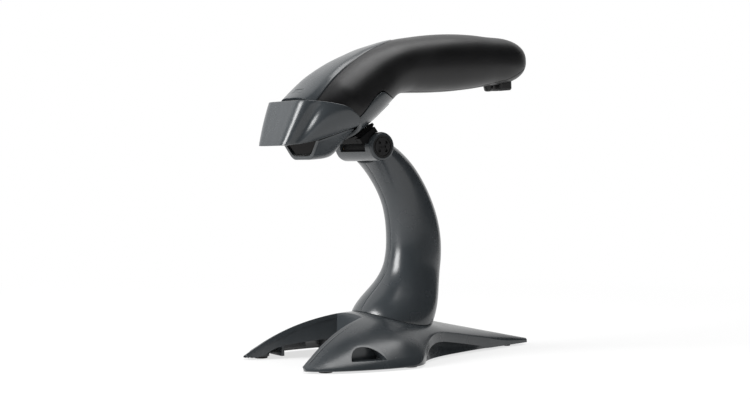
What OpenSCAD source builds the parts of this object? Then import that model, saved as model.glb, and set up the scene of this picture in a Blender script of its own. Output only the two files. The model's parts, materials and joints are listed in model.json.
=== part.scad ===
// Handheld barcode scanner resting in the tilting cup of its table stand.
// X runs across the scanner, Y from nose to tail, Z up; the origin is on the table,
// under the middle of the whole object. Millimetres and degrees.

/* [Stand base] */
// Length of the base from the prong tips to the tail
base_length = 181; // [174:1:190]
// Width of the base across its side corners
base_width = 103; // [98:1:110]
// Wall of the moulded base
base_wall = 2.6; // [2.2:0.1:3]
// Gap under the base's edge, which the rubber feet take up
foot_gap = 1.2; // [1:0.1:1.8]

/* [Neck] */
// Radius of the neck's curved centre line
neck_radius = 60; // [58:0.5:62]
// Width of the neck at its middle
neck_width = 28.4; // [26:0.2:31]
// Depth of the neck at its middle, front to rear
neck_depth = 32; // [30:0.2:34]
// Wall of the neck's two halves
neck_wall = 2.4; // [2:0.1:2.8]

/* [Hinge] */
// Diameter of the hinge drum
hinge_diameter = 16.4; // [16:0.1:17.4]
// Length of the hinge drum
hinge_width = 38; // [36:0.5:40]
// Diameter of the hinge bolt
bolt_diameter = 5; // [4:0.5:6]
// Radial play of turning fits
running_clearance = 0.05; // [0.03:0.01:0.08]

/* [Scanner] */
// Length of the straight part of the handle
handle_length = 90; // [84:1:96]
// Height of the handle at its thickest
handle_height = 34; // [32:0.5:36]
// Width of the handle at its thickest
handle_width = 40; // [37:0.5:43]
// Width of the head where the nose bezel ends
head_width = 55.6; // [54:0.2:57]
// Wall of the scanner's shells
shell_wall = 2.2; // [1.8:0.1:2.4]
// Seam between neighbouring shells
seam = 0.2; // [0.15:0.05:0.3]
// Angle that the trigger swings when pressed
trigger_swing = 4; // [3:0.5:5]

/* [Hidden] */
$fn = 48;

black = "#1c1d1f";
slate = "#3a4046";
steel = "#a9adb1";
rubber = "#141414";
board_green = "#1f5a3a";
brass = "#b5934a";

// Smooth curve through [x, y] stations, with slopes taken from the neighbours
function slope(k, i) =
    let (a = k[max(i - 1, 0)], b = k[min(i + 1, len(k) - 1)])
    (b[1] - a[1]) / (b[0] - a[0]);
function span(k, x, i = 0) = (i >= len(k) - 2 || x < k[i + 1][0]) ? i : span(k, x, i + 1);
function through(k, x) =
    let (
        i = span(k, x),
        w = k[i + 1][0] - k[i][0],
        t = min(max((x - k[i][0]) / w, 0), 1),
        m0 = slope(k, i) * w,
        m1 = slope(k, i + 1) * w
    )
    (2 * pow(t, 3) - 3 * t * t + 1) * k[i][1] + (pow(t, 3) - 2 * t * t + t) * m0
        + (3 * t * t - 2 * pow(t, 3)) * k[i + 1][1] + (pow(t, 3) - t * t) * m1;
function signed_power(v, e) = sign(v) * pow(abs(v), e);
function mix(a, b, t) = a + (b - a) * t;
function bezier(a, b, c, d, t) =
    pow(1 - t, 3) * a + 3 * t * pow(1 - t, 2) * b + 3 * t * t * (1 - t) * c + pow(t, 3) * d;

// Closed solid between an outer and an inner grid of points. A tip gathers the last row.
module thick_patch(outer, inner, tip = false) {
    rows = len(outer);
    cols = len(outer[0]);
    function id(k, i, j) = k * rows * cols + i * cols + ((tip && i == rows - 1) ? 0 : j);
    function quad(a, b, c, d) = [[a, b, c], [a, c, d]];
    skins = [for (i = [0 : rows - 2]) for (j = [0 : cols - 2]) for (f = concat(
        quad(id(0, i, j), id(0, i, j + 1), id(0, i + 1, j + 1), id(0, i + 1, j)),
        quad(id(1, i, j), id(1, i + 1, j), id(1, i + 1, j + 1), id(1, i, j + 1)))) f];
    ends = [for (j = [0 : cols - 2]) for (f = concat(
        quad(id(0, 0, j + 1), id(0, 0, j), id(1, 0, j), id(1, 0, j + 1)),
        quad(id(0, rows - 1, j), id(0, rows - 1, j + 1),
             id(1, rows - 1, j + 1), id(1, rows - 1, j)))) f];
    sides = [for (i = [0 : rows - 2]) for (f = concat(
        quad(id(0, i, 0), id(0, i + 1, 0), id(1, i + 1, 0), id(1, i, 0)),
        quad(id(0, i + 1, cols - 1), id(0, i, cols - 1),
             id(1, i, cols - 1), id(1, i + 1, cols - 1)))) f];
    faces = [for (f = concat(skins, ends, sides))
        if (f[0] != f[1] && f[1] != f[2] && f[0] != f[2]) [f[2], f[1], f[0]]];
    polyhedron([for (g = [outer, inner]) for (r = g) for (p = r) p], faces);
}

// Base outline and height, drawn at this size and brought to the driving size
drawn_length = 181;
drawn_width = 103;
base_half = [[0, 34.5], [6, 40.5], [12, 43.6], [25, 47.8], [38, 50.3], [53, 51.5], [64, 51],
             [70, 46.5], [76, 39.5], [84, 33], [98, 25.6], [118, 18.4], [138, 12.2],
             [160, 6.6], [181, 1.6]];
base_ridge = [[0, 6], [12, 14.4], [23, 19.4], [34, 22.8], [50, 25.6], [62, 26], [75, 24.8],
              [113, 16.8], [181, 2.6]];
base_rim = [[0, 0.6], [60, 0.6], [68, 2], [74, 7.6], [82, 12.4], [92, 14.4], [104, 13],
            [138, 7], [160, 3], [181, 1.6]];
rim_lip = 5.4;
mound_power = 0.72;
notch_end = 50;
notch_half = 13.2;
notch_mouth = 34;

function mound(x, s) =
    let (h = through(base_half, s), e = through(base_rim, s), q = min(abs(x) / h, 1))
    e + (through(base_ridge, s) - e) * pow(1 - q * q, mound_power);
length_scale = base_length / drawn_length;
width_scale = base_width / drawn_width;
function base_top_at(x, s) = foot_gap + mound(x / width_scale, s / length_scale);

// Neck: an arc from the base up to the hinge, about its own centre
foot_s = 79.5 * length_scale;
foot_half_length = 22;
foot_half_width = 25;
foot_flare = 13;
neck_low = -8;
neck_high = 62;
neck_centre = [foot_s - 44.3 + 60 - neck_radius, 64.6];
neck_depths = [[-8, neck_depth / 2 + 0.6], [8, neck_depth / 2], [30, 13.4], [46, 11.4],
               [62, 8.2]];
neck_widths = [[-8, neck_width / 2 + 0.9], [8, neck_width / 2], [30, 13.6], [46, 14.2], [62, 16]];
// The neck's middle moves out to the hinge at its top
hinge_offset = 2.6;
neck_shift = [[-8, 0], [20, 0], [46, hinge_offset / 2], [62, hinge_offset]];
neck_rows = 20;
neck_columns = 12;
neck_power = 0.92;
part_gap = 0.05;

function neck_ring(a, th, inset) =
    let (
        r = neck_radius + through(neck_shift, a)
            + (through(neck_depths, a) - inset) * signed_power(cos(th), neck_power),
        x = (through(neck_widths, a) - inset) * signed_power(sin(th), neck_power)
    )
    [x + part_gap, neck_centre[0] + r * cos(a), neck_centre[1] + r * sin(a)];
function neck_foot(th, inset) =
    let (
        x = (foot_half_width - inset) * signed_power(sin(th), neck_power),
        s = foot_s + (foot_half_length - inset) * signed_power(cos(th), neck_power)
    )
    [x + part_gap, s, base_top_at(x, s) + seam / 2];
function neck_point(t, th, inset) =
    let (join = 0.36)
    t > join ? neck_ring(mix(neck_low, neck_high, (t - join) / (1 - join)), th, inset)
    : bezier(neck_foot(th, inset),
             neck_foot(th, inset) + foot_flare * [0, 0.45, 0.89],
             neck_ring(neck_low, th, inset) + 16 * [0, sin(neck_low), -cos(neck_low)],
             neck_ring(neck_low, th, inset), t / join);

// Hinge axis, over the end of the neck's arc
hinge_angle = 66.4;
hinge_s = neck_centre[0] + (neck_radius + hinge_offset) * cos(hinge_angle);
hinge_z = neck_centre[1] + (neck_radius + hinge_offset) * sin(hinge_angle);
hinge_radius = hinge_diameter / 2;
ear_width = 6;
ear_inner = hinge_width / 2 - ear_width;
washer_thickness = 0.8;
knuckle_half = ear_inner - washer_thickness - 0.2;
drum_skin = 1.7;
turn_gap = 0.3;
knuckle_radius = hinge_radius - drum_skin - turn_gap;
cap_radius = 6.5;
cap_depth = 1.4;
cap_groove = 5;
head_depth = 2.6;
bolt_head = bolt_diameter / 2 + 2;

// Scanner spine: three arcs from the nose end to the tail, pitch rising to the rear
head_length = 51;
bend_length = 26;
nose_pitch = 37;
head_pitch = 32.5;
grip_pitch = 6;
tail_pitch = 1.5;
spine_length = head_length + bend_length + handle_length;
half_heights = [[0, 18], [9, 18.2], [23, 19], [37, 18.6], [51, 17], [61, 15.6], [71, 15.6],
                [81, 16.2], [94, handle_height / 2 - 0.1], [109, handle_height / 2],
                [124, handle_height / 2 - 0.8], [spine_length - 30, 14.9],
                [spine_length - 17, 14.2], [spine_length, 13.6]];
half_widths = [[0, 20], [9, 25], [17, head_width / 2 - 0.5], [23, head_width / 2], [37, 25.5],
               [51, 22.4], [61, 20.9], [71, 20.2], [81, handle_width / 2],
               [109, handle_width / 2], [124, handle_width / 2 - 0.6], [spine_length - 30, 18],
               [spine_length - 17, 16.6], [spine_length, 15.4]];
tail_cap = 24;
tail_round = 2.2;
body_power = 2 / 2.4;

function pitch(l) =
    l < head_length ? mix(nose_pitch, head_pitch, l / head_length)
    : l < head_length + bend_length ? mix(head_pitch, grip_pitch, (l - head_length) / bend_length)
    : mix(grip_pitch, tail_pitch, (l - head_length - bend_length) / handle_length);
// Travel along an arc whose pitch turns from a to b over the given length
function arc_run(a, b, run) =
    abs(b - a) < 0.001 ? run * [cos(a), sin(a)]
    : run * 180 / (PI * (b - a)) * [sin(b) - sin(a), cos(a) - cos(b)];
function spine_run(l) =
    l <= head_length ? arc_run(nose_pitch, pitch(l), l)
    : l <= head_length + bend_length
    ? arc_run(nose_pitch, head_pitch, head_length) + arc_run(head_pitch, pitch(l), l - head_length)
    : arc_run(nose_pitch, head_pitch, head_length) + arc_run(head_pitch, grip_pitch, bend_length)
        + arc_run(grip_pitch, pitch(l), l - head_length - bend_length);
function tail_taper(l) =
    let (t = (l - spine_length + tail_cap) / tail_cap)
    t <= 0 ? 1 : pow(max(1 - pow(min(t, 1), tail_round), 0), 1 / tail_round);
function half_height(l) = through(half_heights, l) * tail_taper(l);
function half_width(l) = through(half_widths, l) * tail_taper(l);

// The scanner rests with its belly on the cup, over the hinge
seat_l = 26.5;
seat_gap = hinge_radius + 4;
seat_pitch = pitch(seat_l);
seat_normal = [-sin(seat_pitch), cos(seat_pitch)];
spine_start = [hinge_s, hinge_z] + seat_normal * (seat_gap + half_height(seat_l))
    - spine_run(seat_l);
function spine(l) = spine_start + spine_run(l);

// Point on the body at spine length l and angle v from the top, inset from the skin
function section_at(l, v, inset) =
    [max(half_width(l) - inset, 0) * signed_power(sin(v), body_power),
     max(half_height(l) - inset, 0) * signed_power(cos(v), body_power)];
function body_at(l, v, inset) =
    let (p = pitch(l), c = spine(l), q = section_at(l, v, inset))
    [q[0], c[0] - q[1] * sin(p), c[1] + q[1] * cos(p)];
// Angle at which the skin is x from the middle
function angle_at(l, x) = asin(pow(min(x / half_width(l), 1), 1 / body_power));

// Seam angles and fronts of the shells
shell_seam = [[0, 108], [17, 105], [41, 97], [47, 122], [53, 152], [60, 160], [120, 160],
              [spine_length - 24, 142], [spine_length - 9, 118], [spine_length - 4, 122],
              [spine_length, 175]];
rim_front = [[0, 1.2], [0.3, 3.4], [0.55, 9], [0.8, 14.6], [1, 17.5]];
housing_front = [[0, 11.5], [0.3, 12.2], [0.65, 18.4], [1, 18.6]];
housing_end = 53;
seam_turn = 2.3;

shell_rows = 28;
shell_columns = 22;
// Share of the length at each row, with rows close together where the seam turns under the grip
shell_shares = [[0, 0], [4, 0.157], [10, 0.258], [shell_rows, 1]];
upper_share = 0.7;
upper_turn = 95;
function shell_angle(f, l) =
    abs(f) < upper_share ? upper_turn * f / upper_share
    : sign(f) * mix(upper_turn, through(shell_seam, l), (abs(f) - upper_share) / (1 - upper_share));
function shell_point(i, j, inset) =
    let (
        f = 2 * j / shell_columns - 1,
        l0 = through(rim_front, abs(shell_angle(f, 17)) / 105),
        l = mix(l0, spine_length, through(shell_shares, i))
    )
    body_at(l, shell_angle(f, l), inset);

module placed() translate([0, -middle, 0]) children();
// Local frame on the spine: X across, Y to the rear along it, Z out of the top
module on_spine(l) translate([0, spine(l)[0], spine(l)[1]]) rotate([pitch(l), 0, 0]) children();
module at_hinge() translate([0, hinge_s, hinge_z]) children();
module across(r, h) rotate([0, 90, 0]) cylinder(r = r, h = h, center = true);

// Stand base

base_rows = 36;
base_columns = 16;
module mound_solid(drop, inset, floor_z) {
    grid = [for (i = [0 : base_rows]) [for (j = [0 : base_columns])
        let (
            s = mix(inset, drawn_length - inset, i / base_rows),
            q = sin(90 * (2 * j / base_columns - 1)),
            h = max(through(base_half, s) - inset, 0.6)
        )
        [q * h, s, max(mound(q * through(base_half, s), s) - drop, floor_z + 0.2)]]];
    low = [for (r = grid) [for (p = r) [p[0], p[1], floor_z]]];
    thick_patch(grid, low);
}
module notch_prism(grow) {
    translate([0, 0, -5]) linear_extrude(60)
        polygon([[-notch_mouth - grow, -8], [notch_mouth + grow, -8],
                 [notch_half + grow, notch_end + grow], [-notch_half - grow, notch_end + grow]]);
}
// Half-round pocket in each side, over a sill
pocket_s = 33;
pocket_radius = 11.4;
pocket_level = 1.3;
pocket_sill = 4.5;
pocket_floor = 38;
module side_pockets(grow) {
    r = pocket_radius + grow;
    for (side = [0, 1]) mirror([side, 0, 0]) translate([pocket_floor - grow, pocket_s, 0])
        intersection() {
            translate([0, 0, pocket_level]) rotate([0, 90, 0]) cylinder(r = r, h = 20);
            translate([0, -r, pocket_sill - grow]) cube([20, 2 * r, r]);
        }
}
// The walls round the front notch end over the table, along this line
notch_feet = [[-8, 0], [8, 0.5], [16, 5], [30, 8], [60, 11]];
module notch_openings() intersection() {
    notch_prism(base_wall + 0.1);
    rotate([90, 0, 90]) translate([0, 0, -40]) linear_extrude(80)
        polygon(concat([[-8, -6]], [for (s = [-8 : 4 : 60]) [s, through(notch_feet, s)]], [[60, -6]]));
}
module rear_arch() {
    low = [for (s = [66 : 6 : 156]) [s, max(through(base_rim, s) - rim_lip, 0)]];
    rotate([90, 0, 90]) translate([0, 0, -70]) linear_extrude(140)
        polygon(concat([[66, -5]], low, [[156, -5]]));
}
// The arch is a recess: a thin wall behind it goes on down to the table
recess_depth = 1.2;
module arch_recess() difference() {
    rear_arch();
    mound_solid(0, recess_depth, -6);
}
foot_places = [[35.2, 12], [-35.2, 12], [42, 62], [-42, 62], [0, 166]];
foot_radii = [4, 4, 5, 5, 2.4];
post_wall = 0.8;
rib_places = [20, 58, 112];
rib_thickness = 1.8;
module foot_posts() {
    for (i = [0 : len(foot_places) - 1]) translate([foot_places[i][0], foot_places[i][1], 0])
        cylinder(r = foot_radii[i] + post_wall, h = 40);
}
module base_form() {
    difference() {
        mound_solid(0, 0, 0);
        notch_prism(0);
        arch_recess();
        side_pockets(0);
        notch_openings();
        difference() {
            mound_solid(base_wall, base_wall, -3);
            notch_prism(base_wall);
            side_pockets(base_wall);
            foot_posts();
            for (s = rib_places) translate([-drawn_width / 2, s, 0])
                cube([drawn_width, rib_thickness, 40]);
        }
    }
}
weight_screw_places = [for (p = [[17, 66], [-17, 66], [0, 94]]) [p[0], p[1] * length_scale]];
neck_bolt_places = [[13, foot_s], [-13, foot_s]];
bolt_core = 3;
bolt_pad = 4.4;
weight_boss = 3.4;
weight_screw_core = 2.6;
module base_shell() color(slate) placed() difference() {
    union() {
        translate([0, 0, foot_gap]) resize([base_width, base_length, 0]) base_form();
        for (p = weight_screw_places) translate([p[0], p[1], weight_z + weight_thickness])
            cylinder(r = weight_boss, h = base_top_at(p[0], p[1]) - weight_z - weight_thickness - 1);
        for (p = neck_bolt_places) translate([p[0], p[1], bolt_seat])
            cylinder(r = bolt_pad, h = base_wall + 1);
    }
    for (p = neck_bolt_places) translate([p[0], p[1], 0]) cylinder(d = bolt_core + bolt_play, h = 40);
    for (p = weight_screw_places) translate([p[0], p[1], weight_z])
        cylinder(d = weight_screw_core + thread_play, h = weight_screw_length + 0.6);
}

thread_play = 0.1;
bolt_play = 0.4;
foot_taper = 0.3;
// Screw heads stand this far off their seats
head_gap = 0.05;
head_height = 1.6;
bolt_seat = base_top_at(neck_bolt_places[0][0], foot_s) - base_wall - 2;
weight_screw_length = 8;
weight_z = 11.5;
weight_thickness = 4;
module base_weight() color(steel) placed() difference() {
    translate([0, 0, weight_z]) linear_extrude(weight_thickness - seam)
        offset(3) scale([1, length_scale])
            polygon([[-25, 64], [25, 64], [17, 82], [9, 97], [-9, 97], [-17, 82]]);
    for (p = weight_screw_places) translate([p[0], p[1], 0]) cylinder(d = weight_screw_core + 0.6, h = 20);
}
module pan_screw(d, head, length) {
    cylinder(d = d, h = length);
    difference() {
        translate([0, 0, -head_height]) cylinder(d = head, h = head_height);
        for (a = [0, 90]) rotate(a) translate([-head / 3, -0.35, -head_height - 0.1])
            cube([head / 1.5, 0.7, 1]);
    }
}
module weight_screws() color(steel) placed()
    for (p = weight_screw_places) translate([p[0], p[1], weight_z - head_gap])
        pan_screw(weight_screw_core, 5.4, weight_screw_length);
module base_feet() color(rubber) placed()
    for (i = [0 : len(foot_places) - 1])
        translate([foot_places[i][0] * width_scale, foot_places[i][1] * length_scale, 0])
            cylinder(r1 = foot_radii[i] - foot_taper, r2 = foot_radii[i], h = foot_gap);

// Neck

neck_screw_angles = [-4, 26];
neck_screw_core = 2.4;
neck_screw_hole = 3.4;
neck_screw_seat = 6;
neck_boss_radius = 3.6;
bolt_boss_radius = 4.2;
bolt_boss_height = 13;
boss_web = [9, 2.4, bolt_boss_height];
module neck_half() difference() {
    union() {
        thick_patch([for (i = [0 : neck_rows]) [for (j = [0 : neck_columns])
                        neck_point(i / neck_rows, 180 * (1 - j / neck_columns), 0)]],
                    [for (i = [0 : neck_rows]) [for (j = [0 : neck_columns])
                        neck_point(i / neck_rows, 180 * (1 - j / neck_columns), neck_wall)]]);
        for (a = neck_screw_angles) translate([part_gap, neck_boss(a)[0], neck_boss(a)[1]])
            rotate([0, 90, 0]) cylinder(r = neck_boss_radius, h = through(neck_widths, a) - neck_wall / 2);
        translate([neck_bolt_places[0][0], foot_s, neck_boss_low])
            cylinder(r = bolt_boss_radius, h = bolt_boss_height);
        translate([neck_bolt_places[0][0], foot_s - boss_web[1] / 2, neck_boss_low]) cube(boss_web);
        at_hinge() rotate([stem_angle, 0, 0])
            translate([stem_size[0] / 2 + seam / 2, stem_size[1] - 7, -stem_size[2] / 2])
                cube([5, 6, stem_size[2]]);
    }
    at_hinge() across(hinge_radius + seam, 2 * hinge_width);
    translate([neck_bolt_places[0][0], foot_s, 0])
        cylinder(d = bolt_core + thread_play, h = neck_boss_low + bolt_boss_height - 2);
}
neck_boss_low = base_top_at(neck_bolt_places[0][0], foot_s) + 1;
function neck_boss(a) = neck_centre + neck_radius * [cos(a), sin(a)];
module neck_left() color(slate) placed() difference() {
    neck_half();
    for (a = neck_screw_angles) translate([0, neck_boss(a)[0], neck_boss(a)[1]])
        across((neck_screw_core + thread_play) / 2, 20);
}
module neck_right() color(slate) placed() difference() {
    mirror([1, 0, 0]) neck_half();
    for (a = neck_screw_angles) translate([0, neck_boss(a)[0], neck_boss(a)[1]]) {
        across(neck_screw_hole / 2, 60);
        translate([-34, 0, 0]) across(neck_boss_radius - bolt_play, 2 * (34 - neck_screw_seat));
    }
}
module neck_screws() color(steel) placed()
    for (a = neck_screw_angles) translate([-neck_screw_seat, neck_boss(a)[0], neck_boss(a)[1]])
        rotate([0, 90, 0]) pan_screw(neck_screw_core, 5.6, 15.5);
module neck_bolts() color(steel) placed()
    for (p = neck_bolt_places)
        translate([p[0], p[1], bolt_seat - head_gap]) pan_screw(bolt_core, 6, 13);

// Hinge: a yoke whose stem is clamped in the neck, with an ear at each end of the drum

stem_angle = -30;
// Stem: across, reach from the axis, depth
stem_size = [16, 19, 8];
drum_edge = 1.4;
// Part of the drum that is open to the cup's arm, in degrees from upright, front to rear
drum_opening = [-111, 40];
module drum() {
    h = hinge_width / 2 - drum_edge;
    r = hinge_radius - drum_edge;
    rotate([0, 90, 0]) rotate_extrude() polygon(concat(
        [[0, -h - drum_edge]],
        [for (a = [0 : 22.5 : 90]) [r + drum_edge * sin(a), -h - drum_edge * cos(a)]],
        [for (a = [0 : 22.5 : 90]) [r + drum_edge * cos(a), h + drum_edge * sin(a)]],
        [[0, h + drum_edge]]));
}
module hinge_yoke() color(slate) placed() at_hinge() difference() {
    union() {
        drum();
        rotate([stem_angle, 0, 0]) translate([-stem_size[0] / 2, 4, -stem_size[2] / 2])
            cube([stem_size[0], stem_size[1] - 4, stem_size[2]]);
    }
    across(knuckle_radius + turn_gap, 2 * ear_inner);
    rotate([90, 0, 90]) linear_extrude(2 * ear_inner, center = true) polygon(concat([[0, 0]],
        [for (k = [0 : 6]) let (a = mix(drum_opening[0], drum_opening[1], k / 6))
            hinge_diameter * [sin(a), cos(a)]]));
    across(bolt_diameter / 2 + running_clearance, 60);
    for (side = [0, 1]) mirror([side, 0, 0]) {
        translate([hinge_width / 2 - head_depth - cap_depth, 0, 0]) rotate([0, 90, 0])
            cylinder(r = bolt_head + 0.1, h = 10);
        translate([hinge_width / 2 - cap_depth, 0, 0]) rotate([0, 90, 0])
            cylinder(r = cap_radius, h = 10);
    }
}
module hinge_bolt() color(steel) placed() at_hinge() {
    across(bolt_diameter / 2, hinge_width - 2 * cap_depth - 0.4);
    translate([hinge_width / 2 - cap_depth - head_depth / 2, 0, 0])
        across(bolt_head, head_depth - seam);
}
module hinge_nut() color(steel) placed() at_hinge()
    translate([-hinge_width / 2 + cap_depth + head_depth / 2, 0, 0]) difference() {
        rotate([0, 90, 0]) cylinder(r = bolt_head, h = head_depth - seam, center = true, $fn = 6);
        across(bolt_diameter / 2, 10);
    }
module hinge_washers() color(brass) placed() at_hinge()
    for (side = [-1, 1]) translate([side * (ear_inner - washer_thickness / 2), 0, 0])
        difference() {
            across(knuckle_radius - 0.4, washer_thickness);
            across(bolt_diameter / 2 + running_clearance, 4);
        }
module hinge_caps() color(black) placed() at_hinge()
    for (side = [0, 1]) mirror([side, 0, 0])
        translate([hinge_width / 2 - cap_depth + 0.05, 0, 0]) rotate([0, 90, 0]) difference() {
            cylinder(r = cap_radius - 0.15, h = cap_depth - 0.05);
            translate([0, 0, 0.9]) difference() {
                cylinder(r = cap_groove + 0.5, h = 4);
                cylinder(r = cap_groove, h = 9, center = true);
            }
            for (a = [0 : 90 : 270]) rotate(a + 45) translate([3.2, 0, 0.6]) cylinder(r = 1, h = 4);
            translate([-0.6, -2.2, 0.8]) cube([1.2, 4.4, 4]);
        }

// Cup: knuckle, arm and a saddle that follows the scanner's belly

saddle_l = [18.5, 31];
saddle_turn = 26;
saddle_gap = 0.5;
saddle_thickness = 3;
saddle_steps = 12;
peg_l = 28;
peg_radius = 3;
peg_height = 3.2;
magnet_l = 21;
magnet_size = [6, 2.2];
magnet_cover = 1.2;
pad_radius = 1.8;
// The arm is narrower than the knuckle, so that it swings clear in the drum's opening
arm_inset = 2;
arm_half = knuckle_half - 1;
pad_x = 7;
pad_depth = 0.6;
function saddle_arc(inset) = [for (k = [0 : saddle_steps])
    section_at(seat_l, 180 + saddle_turn * (2 * k / saddle_steps - 1), inset)];
module saddle() {
    arc = saddle_arc(-saddle_gap);
    under = saddle_arc(-saddle_gap - saddle_thickness);
    on_spine(seat_l) translate([0, saddle_l[1] - seat_l, 0]) rotate([90, 0, 0])
        linear_extrude(saddle_l[1] - saddle_l[0])
            polygon(concat(arc, [for (k = [saddle_steps : -1 : 0]) under[k]]));
}
module on_belly(l) on_spine(l) translate([0, 0, -half_height(l)]) children();
module cup() color(black) placed() difference() {
    union() {
        at_hinge() across(knuckle_radius, 2 * knuckle_half);
        saddle();
        at_hinge() rotate([seat_pitch, 0, 0])
            translate([-arm_half, arm_inset - knuckle_radius, 0])
                cube([2 * arm_half, 2 * (knuckle_radius - arm_inset), seat_gap - saddle_gap - 1]);
        on_belly(peg_l) translate([0, 0, -saddle_gap - 1]) cylinder(r = peg_radius, h = 1 + peg_height);
    }
    at_hinge() across(bolt_diameter / 2 + running_clearance, 60);
    on_belly(magnet_l) translate([0, 0, -saddle_gap - magnet_cover - magnet_size[1]])
        cylinder(d = magnet_size[0] + 0.1, h = 20);
    for (side = [-1, 1]) on_belly(magnet_l) translate([side * pad_x, 0, -saddle_gap - pad_depth - 0.1])
        cylinder(r = pad_radius + 0.05, h = 20);
}
module cup_magnet() color(steel) placed() on_belly(magnet_l)
    translate([0, 0, -saddle_gap - magnet_cover - magnet_size[1]])
        cylinder(d = magnet_size[0], h = magnet_size[1]);
module cup_pads() color(rubber) placed()
    for (side = [-1, 1]) on_belly(magnet_l) translate([side * pad_x, 0, -saddle_gap - pad_depth])
        cylinder(r = pad_radius, h = pad_depth + 0.3);

// Scanner shells

module handle_shell() color(black) placed() difference() {
    union() {
        thick_patch(
            [for (i = [0 : shell_rows]) [for (j = [0 : shell_columns]) shell_point(i, j, 0)]],
            [for (i = [0 : shell_rows]) [for (j = [0 : shell_columns])
                shell_point(i, j, shell_wall)]],
            tip = true);
        for (l = cover_screw_l) on_belly(l) translate([0, 0, cover_boss + seam])
            cylinder(r = cover_post, h = 2 * half_height(l) - cover_boss - seam - 1.2);
        for (p = board_screw_places) on_board() translate([p[0], p[1], head_gap])
            cylinder(r = board_post, h = half_height(board_l) - board_level - board_size[2] - 2.4);
    }
    for (p = board_screw_places) on_board() translate([p[0], p[1], 0])
        cylinder(d = board_screw_core + thread_play, h = board_screw_length);
    on_top(indicator_l) translate([0, 0, -8]) cylinder(d = led_diameter, h = 20);
    for (l = cover_screw_l) on_belly(l) cylinder(d = cover_screw_core + thread_play, h = 13);
}

cover_rows = 18;
cover_columns = 8;
function under_angle(f, l) = 180 + f * (180 - through(shell_seam, l) - seam_turn);
function cover_point(i, j, inset) =
    let (l = mix(housing_end + seam, spine_length - 2, i / cover_rows))
    body_at(l, under_angle(2 * j / cover_columns - 1, l), inset);
socket_l = spine_length - 17.4;
socket_size = [16, 12.4, 13];
plug_opening = [11.8, 6.8, 10.5];
latch_size = [4.4, 2.2];
socket_drop = 4.4;
module socket_box(grow, drop) on_belly(socket_l)
    translate([-socket_size[0] / 2 - grow, -socket_size[1] / 2 - grow, -drop])
        cube([socket_size[0] + 2 * grow, socket_size[1] + 2 * grow, socket_size[2] + drop]);
module handle_cover() color(black) placed() difference() {
    union() {
        thick_patch(
            [for (i = [0 : cover_rows]) [for (j = [0 : cover_columns]) cover_point(i, j, 0)]],
            [for (i = [0 : cover_rows]) [for (j = [0 : cover_columns]) cover_point(i, j, shell_wall)]]);
        on_belly(cable_nub_l) translate([0, 0, -nub_drop])
            cylinder(r1 = 2.2, r2 = 3.2, h = nub_drop + 1.4);
        for (l = cover_screw_l) on_belly(l) translate([0, 0, 1.2])
            cylinder(r = cover_post + 1, h = cover_boss - 1.2);
    }
    socket_box(seam, 10);
    for (l = cover_screw_l) on_belly(l) {
        translate([0, 0, -5]) cylinder(d = cover_screw_core + bolt_play, h = 20);
        translate([0, 0, -5]) cylinder(d = cover_screw_head + bolt_play, h = 5 + screw_seat);
    }
}
cable_nub_l = spine_length - 26.6;
nub_drop = 3.4;
cover_screw_l = [61, spine_length - 33];
cover_boss = 4.2;
cover_post = 3;
cover_screw_core = 2.4;
cover_screw_head = 4.6;
screw_seat = 2.4;

housing_rows = 14;
housing_columns = 14;
function housing_point(i, j, inset) =
    let (
        f = 2 * j / housing_columns - 1,
        l = mix(through(housing_front, abs(f)), housing_end, i / housing_rows)
    )
    body_at(l, under_angle(f, l), inset);
trigger_l = [34.6, 51];
trigger_half = 8;
trigger_play = 0.45;
trigger_middle = (trigger_l[0] + trigger_l[1]) / 2;
trigger_length = trigger_l[1] - trigger_l[0];
trigger_proud = 1;
// Where the trigger's pin lies, rearward of the trigger's middle and above its skin
pin_place = [6.4, 6.2];
// The front edge swings forward about the pin, so it has more play
front_play = trigger_play + (pin_place[1] + trigger_proud) * sin(trigger_swing);
module lower_housing() color(slate) placed() difference() {
    thick_patch(
        [for (i = [0 : housing_rows]) [for (j = [0 : housing_columns]) housing_point(i, j, 0)]],
        [for (i = [0 : housing_rows]) [for (j = [0 : housing_columns])
            housing_point(i, j, shell_wall)]]);
    in_trigger() translate([-trigger_half - trigger_play, -trigger_length / 2 - front_play, -5])
        cube([2 * (trigger_half + trigger_play), trigger_length + front_play + trigger_play, 14]);
    on_belly(peg_l) translate([0, 0, -5]) cylinder(r = peg_radius + 0.3, h = 12);
}

// Nose bezel: stations from the middle of the brow round to the wing's end, as [across, along, up]
nose_rim = [[0, -14.5, 14.7], [7.5, -14.5, 14.7], [14, -14.1, 14.7], [18.6, -11.6, 14.6],
            [23, -6.5, 14.1], [27.3, -1.2, 13.4], [31.4, 7, 11.5], [31.7, 12.5, 8.4],
            [30.2, 17.6, 4.6]];
nose_low = [[0, -23.2, -10.2], [5.6, -23.2, -10.2], [10, -22.9, -10.15], [13.4, -20.9, -9.95],
            [15.6, -17, -9.4], [17.9, -12.2, -8.7], [21.2, -3.6, -6.6], [24.5, 7, -2.9],
            [27.4, 16.8, 0.6]];
nose_last = len(nose_rim) - 1;
nose_rows = 40;
nose_columns = 4;
// How far the bezel's face stands out between its edges, flat at the front and full on the wings
nose_bulge = [[0, 0.15], [2, 0.3], [4, 1.3], [6, 1.7], [8, 0.4]];
function station(k, w) = [for (c = [0 : 2]) through([for (i = [0 : len(k) - 1]) [i, k[i][c]]], w)];
nose_reach = min([for (i = [0 : nose_rows]) station(nose_low, nose_last * i / nose_rows)[1]]);
middle = (base_length + spine_start[0] + nose_reach) / 2;
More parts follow.
